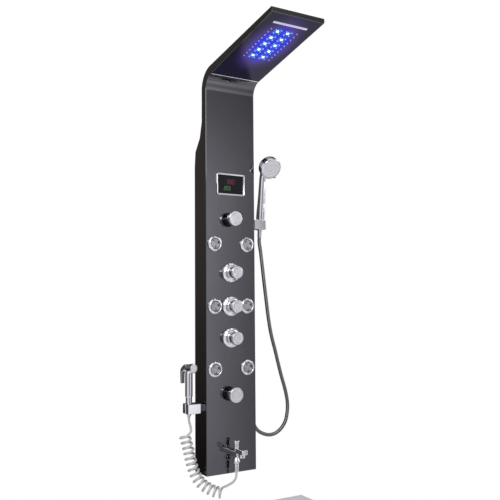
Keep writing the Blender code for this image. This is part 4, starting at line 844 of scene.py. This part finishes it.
# Painted highlight: the emission makes the waterfall lip and the seam bead glow pale, standing in for the
# bright line they reflect; the streaks also vary their colour and roughness.
polished_lip_painted_glow = Finish("polished_lip_painted_glow", Metallic=1.0, Emission_Strength=1.0)
streak_and_glow = polished_lip_painted_glow.noise(120.0, 3.0)
polished_lip_painted_glow.mottled(streak_and_glow, (0.86, 0.86, 0.9), (0.94, 0.94, 0.97), 0.24, 0.12)
polished_lip_painted_glow.feed(Emission_Color=polished_lip_painted_glow.mix(streak_and_glow, (0.16, 0.15, 0.2), (0.24, 0.23, 0.29)))
dress(polished_lip_painted_glow, "waterfall_lip")
seam_x = np.linspace(HEAD_RIM - HALF, HALF - HEAD_RIM, 12)
SEAM_BEAD = 0.0012
seam_line = np.stack([seam_x, np.full(12, head_start[0] - 0.0002), np.full(12, head_start[1] + 0.0004)],
                     axis=1)
skin("plate_seam_bead", [tube(seam_line, SEAM_BEAD, 12)], polished_lip_painted_glow, "panel")


# ---------------------------------------------------------------- wall side
# Two galvanised channel brackets, the cast brass manifold behind the knobs with its hot and cold tails,
# and the pipe and small turbine that carry water up to the head. They show only from behind.

galvanised = Finish("galvanised_steel", Metallic=1.0)
flakes = galvanised.node("ShaderNodeTexVoronoi", {}, {"Vector": galvanised.place, "Scale": 130.0}, "Color")
flake = galvanised.split(flakes)[0]
galvanised.mottled(flake, (0.36, 0.37, 0.39), (0.6, 0.61, 0.63), 0.32, 0.24)
galvanised.bump(flake, 0.0001, 0.3)
dress(galvanised, "upper_wall_bracket", "lower_wall_bracket", "riser_pipe")

brass = Finish("cast_brass", Metallic=1.0)
sand = brass.noise(500.0, 4.0)
tarnish = brass.noise(22.0, 4.0)
brass.mottled(tarnish, (0.42, 0.27, 0.1), (0.66, 0.47, 0.2), 0.3, 0.25)
brass.bump(sand, 0.0003, 0.5)
dress(brass, "valve_manifold", *[f"{name}_spindle" for name in KNOBS])


# ---------------------------------------------------------------- display
# A dark glass window in a chrome frame that stands 3.5 mm proud of the panel, with a red temperature
# reading above a green one, both of seven-bar figures.

def rounded_loop(width, tall, corner, steps=8):
    """Points round a rectangle with quarter-circle corners, counter-clockwise, and their outward ways."""
    points, ways = [], []
    for quarter, (sx, sz) in enumerate(((1, 1), (-1, 1), (-1, -1), (1, -1))):
        a = (quarter + np.linspace(0, 1, steps + 1)) * math.pi / 2
        way = np.stack([np.cos(a), np.sin(a)], axis=1)
        points.append(np.array([sx * (width / 2 - corner), sz * (tall / 2 - corner)]) + corner * way)
        ways.append(way)
    return np.vstack(points + [points[0][:1]]), np.vstack(ways + [ways[0][:1]])


FACE = FRONT - GAP
BEZEL_THICK = 0.0035
loop, ways = rounded_loop(DISPLAY_WIDTH, DISPLAY_TALL, 0.007)
section = eased([(0, 0), (0, BEZEL_THICK, 0.0009), (-0.0022, BEZEL_THICK, 0.0008),
                 (-BEZEL_WIDTH, 0.0017, 0.0003), (-BEZEL_WIDTH, 0), (0, 0)], 4)
bezel = np.empty((len(section), len(loop), 3))
bezel[..., 0] = loop[None, :, 0] + section[:, :1] * ways[None, :, 0]
bezel[..., 2] = DISPLAY + loop[None, :, 1] + section[:, :1] * ways[None, :, 1]
bezel[..., 1] = FACE - section[:, 1:]
skin("display_frame", [bezel], chrome, "panel", ["display_bezel"], sharp=50)

smoked_glass = Finish("smoked_glass", Metallic=0.0, Specular_IOR_Level=0.16)
smear = smoked_glass.noise(30.0, 4.0)
smoked_glass.mottled(smear, (0.006, 0.006, 0.008), (0.014, 0.014, 0.017), 0.04, 0.06)
dress(smoked_glass, "display_lens")

BARS = {"2": "abged", "3": "abgcd", "8": "abcdefg", "0": "abcdef"}
BAR_PLACES = {"a": (0, 1, 0), "b": (0.5, 0.5, 1), "c": (0.5, -0.5, 1), "d": (0, -1, 0), "e": (-0.5, -0.5, 1),
              "f": (-0.5, 0.5, 1), "g": (0, 0, 0)}
BARS_FRONT, BARS_BACK = 0.00205, 0.0015


def figures(text, left, middle, tall):
    """Seven-bar figures of six-sided bars just proud of the glass. A bar's middle is at left + 0.72 tall * k
    + half * across and middle + half * up, where half is half the figure's height."""
    half = tall / 2
    bars = []
    for k, letter in enumerate(text):
        for bar in BARS[letter]:
            bx, bz, upright = BAR_PLACES[bar]
            x = left + k * 0.72 * tall + bx * half
            z = middle + bz * half
            long, thin = half * 0.44, half * 0.12
            outline = np.array([(-long, 0), (-long + thin, thin), (long - thin, thin), (long, 0),
                                (long - thin, -thin), (-long + thin, -thin), (-long, 0)])
            if upright:
                outline = outline[:, ::-1]
            ring = np.stack([x + outline[:, 0], np.full(7, 0.0), z + outline[:, 1]], axis=1)
            mid = np.array([[x, 0.0, z]] * 7)
            grid = np.stack([mid, ring, ring, mid])
            grid[:2, :, 1], grid[2:, :, 1] = FACE - BARS_FRONT, FACE - BARS_BACK
            bars.append(grid)
    return bars


for name, text, left, middle, tall, dim, full in (
        ("red_reading", "380", -0.0135, DISPLAY + 0.01, 0.016, (0.1, 0.01, 0.012), (0.22, 0.022, 0.024)),
        ("green_reading", "203", -0.025, DISPLAY - 0.014, 0.013, (0.03, 0.16, 0.05), (0.12, 0.34, 0.14))):
    lit = Finish(name + "_light", Emission_Strength=1.0, Roughness=0.4, Specular_IOR_Level=0.1)
    glimmer = lit.noise(500.0, 2.0)
    lit.feed(Base_Color=lit.mix(glimmer, (0.02, 0.02, 0.02), (0.04, 0.04, 0.04)),
             Emission_Color=lit.mix(glimmer, dim, full))
    skin(name, figures(text, left, middle, tall), lit, "panel")


# ---------------------------------------------------------------- knobs
# Turned and chromed brass knobs on stems, each with a dark dot at its top. The highest and the lowest
# are wide flat caps. The three between are deeper and stand on a sloped flange clamped to the panel.

small_knob = [(0, 0.0377), (0.017, 0.0377, 0.0006), (0.0176, 0.038, 0.0006), (0.026, 0.038, 0.0016),
              (0.026, 0.0345, 0.0005), (0.0253, 0.0338, 0.0004), (0.0253, 0.0326, 0.0004),
              (0.026, 0.0319, 0.0005), (0.026, 0.02, 0.0012), (0.0155, 0.02, 0.0006), (0.0155, 0.0006),
              (0.0048, 0.0006), (0.0048, 0.0189), (0, 0.0189)]
large_knob = [(0, 0.0478), (0.014, 0.0478, 0.0006), (0.0146, 0.048, 0.0006), (0.0222, 0.048, 0.0018),
              (0.0222, 0.043, 0.0005), (0.0215, 0.0423, 0.0004), (0.0215, 0.0408, 0.0004),
              (0.0222, 0.0401, 0.0005), (0.0222, 0.015, 0.0014), (0.018, 0.015, 0.0006), (0.018, 0.0006),
              (0.0048, 0.0006), (0.0048, 0.0189), (0, 0.0189)]
flange = [(0.019, 0.0003), (0.0355, 0.0003), (0.0355, 0.003, 0.0012), (0.033, 0.007, 0.003),
          (0.0268, 0.0116, 0.002), (0.0215, 0.012, 0.001), (0.019, 0.0112, 0.0008), (0.019, 0.0003)]


def turned(name, profile, place, around, finish, body, slot, *nodes):
    """One lathe-turned piece, which stands for the CAD nodes named."""
    return skin(name, [lathe(profile, place, around)], finish, body, nodes)


for name, (z, large) in KNOBS.items():
    cap = large_knob if large else small_knob
    turned(f"{name}_cap", cap, facing(0, z), 96, chrome, f"{name}_control", "chrome", f"{name}_knob")
    if large:
        turned(f"{name}_rosette", flange, facing(0, z), 96, chrome, "panel", "chrome", f"{name}_flange")
dark_enamel = Finish("dark_enamel", Coat_Weight=0.5)
fleck = dark_enamel.noise(900.0, 2.0)
dark_enamel.mottled(fleck, (0.012, 0.012, 0.014), (0.03, 0.03, 0.034), 0.25, 0.1)
MARK_UP = 0.0115
dot = [(0, 0.00005), (0.0011, 0.00005, 0.0002), (0.0013, -0.0004), (0, -0.0004)]
for name, (z, large) in KNOBS.items():
    cap_front = (large_knob if large else small_knob)[0][1]
    place = facing(0, z, cap_front) @ Matrix.Translation((0, MARK_UP, 0))
    turned(f"{name}_mark", dot, place, 16, dark_enamel, f"{name}_control", "black_plastic")


# ---------------------------------------------------------------- body jets
# Each jet is a chromed ring screwed through the panel, holding a satin ball that tilts. The ball's flat
# face has a raised centre, two grooves and three dark spray eyes.

jet_ring = [(0.0191, -0.01), (0.0215, -0.01), (0.0215, 0.0003), (0.0275, 0.0003), (0.0275, 0.0038, 0.0012),
            (0.0235, 0.0085, 0.0016), (0.0205, 0.0085, 0.001), (0.0191, 0.0072, 0.0006), (0.0191, -0.01)]
BALL_RADIUS, BALL_FACE = 0.0185, 0.0085
rim_angle = math.acos(BALL_FACE / BALL_RADIUS)
sphere = [(BALL_RADIUS * math.sin(a), BALL_RADIUS * math.cos(a)) for a in np.linspace(rim_angle, 2.88, 22)]
jet_ball = [(0, 0.0079), (0.004, 0.0079, 0.0004), (0.0046, 0.0066, 0.0003), (0.0064, 0.0066, 0.0003),
            (0.007, 0.0085, 0.0004), (0.0098, 0.0085, 0.0004), (0.0104, 0.007, 0.0003),
            (0.0128, 0.007, 0.0003), (0.0134, 0.0085, 0.0004), (sphere[0][0] - 0.0004, 0.0085, 0.0003)]
jet_ball += sphere + [(0.005, -0.03), (0, -0.03)]
satin = Finish("satin_chrome", Metallic=1.0)
brushing = satin.noise(800.0, 3.0)
patch = satin.noise(40.0, 3.0)
satin.feed(Base_Color=satin.mix(patch, (0.44, 0.44, 0.47), (0.56, 0.56, 0.6)),
           Roughness=0.22 + brushing * 0.14)
satin.bump(brushing, 0.0001, 0.4)
SPRAY_EYES = [(0.0112, 0.0042, 0.004), (0.0008, -0.0122, 0.0028), (-0.0078, 0.0092, 0.002)]
for row, z in JETS.items():
    for side_name, x in (("left", -JET_X), ("right", JET_X)):
        name = f"{row}_{side_name}"
        turned(f"{name}_ring", jet_ring, facing(x, z), 72, chrome, "panel", "chrome", f"{name}_jet_ring")
        seat = facing(x, z, -0.001)
        turned(f"{name}_ball", jet_ball, seat, 72, satin, f"{name}_jet", "satin_chrome", f"{name}_jet_ball")
        eyes = [lathe([(0, 0.0004), (wide, 0.0004, 0.0003), (wide, -0.0012), (0, -0.0012)],
                      seat @ Matrix.Translation((ex, ey, 0.0087)), 24) for ex, ey, wide in SPRAY_EYES]
        skin(f"{name}_spray_eyes", eyes, dark_enamel, f"{name}_jet")


# ---------------------------------------------------------------- tub spout
# A cast and chromed spout: a round barrel on a nut, a squared nose with the aerator under it, a pull-up
# diverter on top and the nut of the sprayer's hose below.

spout_frame = facing(0, SPOUT)
upright = Matrix.Rotation(math.radians(-90), 4, "X")
on_barrel = spout_frame @ Matrix.Translation((0, 0, 0.031)) @ upright
barrel = [(0, -0.016), (0.009, -0.016), (0.009, 0.0003), (0.013, 0.0003), (0.013, 0.054, 0.003),
          (0.01, 0.056, 0.001), (0, 0.056)]
collar = [(0, 0), (0.009, 0), (0.009, 0.0143, 0.0008), (0.0082, 0.0145), (0.0041, 0.0145), (0.0041, 0.002),
          (0, 0.002)]
stub = [(0, -0.024), (0.006, -0.024), (0.006, 0), (0, 0)]
skin("spout_barrel",
     [lathe(barrel, spout_frame, 72), lathe(collar, on_barrel, 48), lathe(stub, on_barrel, 32)],
     chrome, "panel", ["spout_body"])
nose_mesh = block_mesh((-0.0115, 0.003, 0.044), (0.0115, 0.02, 0.09), 0.0032, 5)
nose_mesh.transform(spout_frame)
nose = settle("spout_nose", nose_mesh, chrome, "panel")
keep_flats(nose)
pull = [(0, 0.002), (0.0035, 0.002), (0.0035, 0.0148), (0.0052, 0.0148), (0.0082, 0.019, 0.003),
        (0.0082, 0.036, 0.004), (0.0108, 0.0395, 0.001), (0.0108, 0.044, 0.0012), (0.006, 0.0448, 0.0004),
        (0, 0.0448)]
turned("diverter_pull", pull, on_barrel, 72, chrome, "diverter", "chrome", "diverter_knob")
aerator = [(0, -0.0063), (0.008, -0.0063), (0.0085, -0.0091, 0.0003), (0.011, -0.0085, 0.0005),
           (0.011, 0.0027), (0, 0.0027)]
turned("spout_aerator", aerator, spout_frame @ Matrix.Translation((0, 0, 0.068)) @ upright, 64, chrome,
       "panel", "chrome", "aerator")
nut = [(0, -0.0243), (0.0063, -0.0243), (0.0063, -0.0136), (0.0085, -0.0136, 0.0004), (0.0128, -0.0246, 0.001),
       (0.0128, -0.0286, 0.001), (0.0085, -0.0336, 0.001), (0.0082, -0.04, 0.0006), (0.0085, -0.0406, 0.0004),
       (0.0085, -0.044, 0.0004), (0.008, -0.0446, 0.0006), (0.0078, -0.0616, 0.001), (0.006, -0.0646),
       (0, -0.0646)]
turned("hose_nut_below_spout", nut, on_barrel, 64, chrome, "panel", "chrome", "coil_hose_nut")


# ---------------------------------------------------------------- shower hose outlet
# A chromed elbow screwed through the panel's right side, with the tapered nut of the hand shower's hose.

elbow_frame = Matrix.Translation((HALF, -0.026, OUTLET))
elbow = [(0, -0.014), (0.0087, -0.014), (0.0087, 0.0003), (0.014, 0.0003), (0.014, 0.0022, 0.0008),
         (0.0095, 0.004, 0.001), (0.009, 0.018, 0.003), (0.0063, 0.023, 0.0015), (0, 0.024)]
drop = [(0, -0.022), (0.0081, -0.022), (0.0081, 0), (0, 0)]
below_elbow = elbow_frame @ Matrix.Translation((0.018, 0, 0))
skin("outlet_elbow",
     [lathe(elbow, elbow_frame @ Matrix.Rotation(math.pi / 2, 4, "Y"), 48), lathe(drop, below_elbow, 48)],
     chrome, "panel", ["hose_outlet_elbow"])
hose_nut = [(0, -0.0223), (0.0115, -0.0223, 0.001), (0.0115, -0.0343, 0.002), (0.0085, -0.0483, 0.0006),
            (0, -0.0483)]
turned("outlet_hose_nut", hose_nut, below_elbow, 48, chrome, "panel", "chrome", "shower_hose_nut")


# ---------------------------------------------------------------- side sockets
# Solid chromed blocks on short arms, screwed to the panel's sides, each with a tapered bore and a slot
# in its outer end for the hose.

LEAN = math.radians(7)
SPRAYER_TURN = math.radians(16)
SOCKET_X, SOCKET_Y = 0.148, -0.0475
ARM_HALF = 0.011


def socket_frame(side, z, lean):
    """Frame on a socket's bore: +Z points up it, leaning out from the wall by an angle."""
    return Matrix.Translation((side * SOCKET_X, SOCKET_Y, z)) @ Matrix.Rotation(lean, 4, "X")


def solid_bar(profile, place, around=48):
    """A closed lathe-turned shape as a bare mesh, for cutting a bore."""
    work = bmesh.new()
    work.from_mesh(grid_mesh(lathe(profile, place, around)))
    bmesh.ops.remove_doubles(work, verts=work.verts, dist=1e-6)
    bmesh.ops.recalc_face_normals(work, faces=work.faces)
    mesh = bpy.data.meshes.new("bore")
    work.to_mesh(mesh)
    work.free()
    return mesh


def grid_mesh(grid):
    """A bare mesh of one grid's faces."""
    rows, columns = grid.shape[:2]
    index = np.arange(rows * columns).reshape(rows, columns)
    quads = np.stack([index[:-1, :-1], index[:-1, 1:], index[1:, 1:], index[1:, :-1]], axis=-1).reshape(-1, 4)
    mesh = bpy.data.meshes.new("grid")
    mesh.from_pydata(grid.reshape(-1, 3).tolist(), [], quads.tolist())
    return mesh


for name, node, side, z, lean, slot_half in (
        ("hand_shower_socket", "handset_holder", 1, height(0.88), LEAN, 0.0078),
        ("sprayer_socket", "sprayer_holder", -1, height(0.23), 0.0, 0.0048)):
    near, far = sorted((side * (HALF + 0.012), side * (HALF + 0.0615)))
    block = block_mesh((near, SOCKET_Y - 0.022, z - 0.017), (far, SOCKET_Y + 0.022, z + 0.017), 0.0022, 4)
    piece = settle(name, block, chrome, "panel", [node])
    place = socket_frame(side, z, lean)
    bore = solid_bar([(0, -0.023), (0.0092, -0.023), (0.0116, 0.023), (0, 0.023)], place)
    slot_x = sorted((0, side * 0.03))
    slot = block_mesh((slot_x[0], -slot_half, -0.023), (slot_x[1], slot_half, 0.023))
    slot.transform(place)
    holes_cut(piece, [bore])
    holes_cut(piece, [slot])
    arm_low, arm_high = sorted((side * (HALF + GAP), side * (HALF + 0.0125)))
    arm = block_mesh((arm_low, SOCKET_Y - ARM_HALF, z - ARM_HALF),
                     (arm_high, SOCKET_Y + ARM_HALF, z + ARM_HALF), 0.001, 3)
    keep_flats(piece)
    keep_flats(settle(name + "_arm", arm, chrome, "panel"))


def hose_cone(name, hose, tail, place, body, node):
    """The tapered end of a hose with its threaded stub: a turned profile that fits the socket's bore, over
    a tail of the hose's own radius."""
    low = 0.0098 - GAP
    profile = [(0, -0.025 - tail), (hose + 0.001, -0.025 - tail), (hose + 0.0012, -0.025, 0.0004),
               (low - 0.0002, -0.019, 0.0006), (0.011, 0.017, 0.0003), (0.006, 0.017), (0.006, 0.029),
               (0, 0.029)]
    turned(name, profile, place, 48, chrome, body, "chrome", node)


# ---------------------------------------------------------------- hand shower
# A chromed hand shower: a tapering handle with a curved neck, and a smoky drum head. A ring with a
# small tab turns round the pale spray face to change the spray.

hand_frame = socket_frame(1, height(0.88), LEAN)
hose_cone("hand_shower_cone", 0.007, 0.02, hand_frame, "handset_hose_end", "handset_hose_cone")
TILT = math.radians(27)
FACE_OUT, FACE_UP, NECK_IN = -0.0575, 0.2063, 0.026
face_frame = (hand_frame @ Matrix.Translation((0, FACE_OUT, FACE_UP))
              @ Matrix.Rotation(math.pi / 2 + TILT, 4, "X"))
rise = np.linspace(0.0205, 0.1685, 6)
neck_end = np.array([FACE_OUT + NECK_IN * math.cos(TILT), FACE_UP + NECK_IN * math.sin(TILT)])
handle_line = [(0, 0, z) for z in rise]
handle_radii = [0.0168, 0.0162, 0.0146, 0.0138, 0.0132, 0.0128]
for forward, up in ((0.04, 0.26), (0.2, 0.55), (0.52, 0.84), (1.0, 1.0)):
    handle_line.append((0, forward * neck_end[0], rise[-1] + up * (neck_end[1] - rise[-1])))
    handle_radii.append(handle_radii[5] + 0.002 * forward)
marks = run_along(np.array(handle_line))
handle_path = smooth_path(handle_line, 0.0016)
at = run_along(handle_path)
radii = np.interp(at / at[-1], marks / marks[-1], handle_radii)
radii[:4] *= np.array([0.9, 0.96, 0.985, 0.995])
drum = [(0, -0.009), (0.0382, -0.009), (0.0382, -0.0105, 0.0003), (0.039, -0.011, 0.0004),
        (0.039, -0.029, 0.003), (0.0355, -0.0345, 0.003), (0.02, -0.036, 0.004), (0, -0.036)]
skin("hand_shower_handle", [put(tube(handle_path, radii, 48), hand_frame)], chrome, "handset",
     ["handset_body"], sharp=45)
smoky = Finish("smoky_chrome", Metallic=1.0)
smoke = smoky.noise(40.0, 4.0)
smoky.mottled(smoke, (0.2, 0.2, 0.23), (0.3, 0.3, 0.34), 0.1, 0.08)
smoky.bump(smoke, 0.0001, 0.25)
turned("hand_shower_head", drum, face_frame, 96, smoky, "handset", "chrome")
ring = [(0.036, -0.0087), (0.04, -0.0087, 0.0006), (0.04, -0.0018, 0.0014), (0.0378, 0, 0.0008),
        (0.036, -0.0006, 0.0003), (0.036, -0.0087)]
tab = block_mesh((-0.004, -0.044, -0.007), (0.004, -0.037, -0.002), 0.0012, 3)
tab.transform(face_frame @ Matrix.Rotation(math.radians(40), 4, "Z"))
turned("spray_ring", ring, face_frame, 96, chrome, "selector", "chrome", "selector_ring")
settle("spray_ring_tab", tab, dark_enamel, "selector")
pale_face = Finish("pale_spray_face", Metallic=0.0, Coat_Weight=0.3, Coat_Roughness=0.15)
matte = pale_face.noise(300.0, 3.0)
pale_face.mottled(matte, (0.66, 0.66, 0.69), (0.76, 0.76, 0.79), 0.26, 0.14)
pale_face.bump(matte, 0.0001, 0.3)
plate = [(0, -0.0008), (0.0085, -0.0008, 0.0004), (0.0092, -0.0018, 0.0003), (0.0108, -0.0018, 0.0003),
         (0.0115, -0.0008, 0.0004), (0.0235, -0.0006, 0.0004), (0.0241, -0.0014, 0.0003),
         (0.0249, -0.0014, 0.0003), (0.0255, -0.0006, 0.0004), (0.034, -0.0006, 0.0006), (0.0356, -0.0022),
         (0.0356, -0.0087), (0, -0.0087)]
turned("spray_plate", plate, face_frame, 96, pale_face, "handset", "satin_chrome", "handset_face")
spray_tip = [(0, -0.0001), (0.0004, -0.0001), (0.0008, -0.0005, 0.0002), (0.0011, -0.0016), (0, -0.0016)]
tips = []
for radius, count in ((0.0045, 6), (0.015, 16), (0.02, 22), (0.0295, 32)):
    for k in range(count):
        spin = Matrix.Rotation(2 * math.pi * k / count, 4, "Z") @ Matrix.Translation((radius, 0, 0))
        tips.append(lathe(spray_tip, face_frame @ spin, 8))
spray_rubber = Finish("spray_rubber", Metallic=0.0)
dust = spray_rubber.noise(900.0, 2.0)
spray_rubber.mottled(dust, (0.16, 0.16, 0.18), (0.26, 0.26, 0.28), 0.45, 0.2)
skin("spray_tips", tips, spray_rubber, "handset")


# ---------------------------------------------------------------- trigger sprayer
# A small chromed sprayer: neck, grip and a short horizontal head with a pale spray face, and a lever
# that hangs behind the grip from a pin in the head.

spray_frame = socket_frame(-1, height(0.23), 0.0) @ Matrix.Rotation(SPRAYER_TURN, 4, "Z")
hose_cone("sprayer_cone", 0.004, 0.004, spray_frame, "sprayer_hose_end", "sprayer_hose_cone")
grip = [(0, 0.0293), (0.0063, 0.0293), (0.0063, 0.0176), (0.011, 0.0176, 0.0006), (0.011, 0.039, 0.002),
        (0.013, 0.043, 0.0016), (0.013, 0.124, 0.004), (0.01, 0.13, 0.002), (0, 0.132)]
level_frame = spray_frame @ Matrix.Translation((0, 0, 0.139)) @ Matrix.Rotation(math.pi / 2, 4, "X")
head = [(0, 0.025), (0.0143, 0.025), (0.0143, 0.0272), (0.0148, 0.0275), (0.0165, 0.0268, 0.0012),
        (0.0165, 0.0175, 0.003), (0.0135, 0.0, 0.002), (0.0115, -0.008, 0.002), (0, -0.008)]
skin("sprayer_shell", [lathe(grip, spray_frame, 64), lathe(head, level_frame, 64)], chrome, "sprayer",
     ["sprayer_body"])
face = [(0, 0.0276), (0.006, 0.0274, 0.0004), (0.0066, 0.0268, 0.0003), (0.008, 0.0268, 0.0003),
        (0.0086, 0.0274, 0.0004), (0.0132, 0.0268, 0.0006), (0.014, 0.0256), (0.014, 0.0253), (0, 0.0253)]
turned("sprayer_plate", face, level_frame, 64, pale_face, "sprayer", "satin_chrome", "sprayer_face")
LEVER = [(0.0118, 0.1335), (0.0088, 0.142), (0.0088, 0.15), (0.016, 0.1515), (0.03, 0.141),
         (0.0355, 0.133), (0.0365, 0.122), (0.035, 0.086), (0.031, 0.084), (0.03, 0.118),
         (0.027, 0.126), (0.018, 0.132)]
lever_outline = eased([LEVER[0]] + [(*corner, 0.0022) for corner in LEVER[1:]] + [LEVER[0]], 4)
LEVER_HALF = 0.008
work = bmesh.new()
cheek = work.faces.new([work.verts.new((-LEVER_HALF, *point)) for point in lever_outline[:-1]])
made = bmesh.ops.extrude_face_region(work, geom=[cheek])["geom"]
far_points = [item for item in made if isinstance(item, bmesh.types.BMVert)]
bmesh.ops.translate(work, vec=(2 * LEVER_HALF, 0, 0), verts=far_points)
bmesh.ops.recalc_face_normals(work, faces=work.faces)
lever_mesh = bpy.data.meshes.new("lever")
work.to_mesh(lever_mesh)
work.free()
lever_mesh.transform(spray_frame)
lever_piece = settle("sprayer_lever", lever_mesh, chrome, "trigger", ["sprayer_trigger"], sharp=40)
rounding = lever_piece.modifiers.new("rounding", "BEVEL")
rounding.width = 0.0008
rounding.segments = 2
rounding.limit_method = "ANGLE"
rounding.angle_limit = math.radians(60)
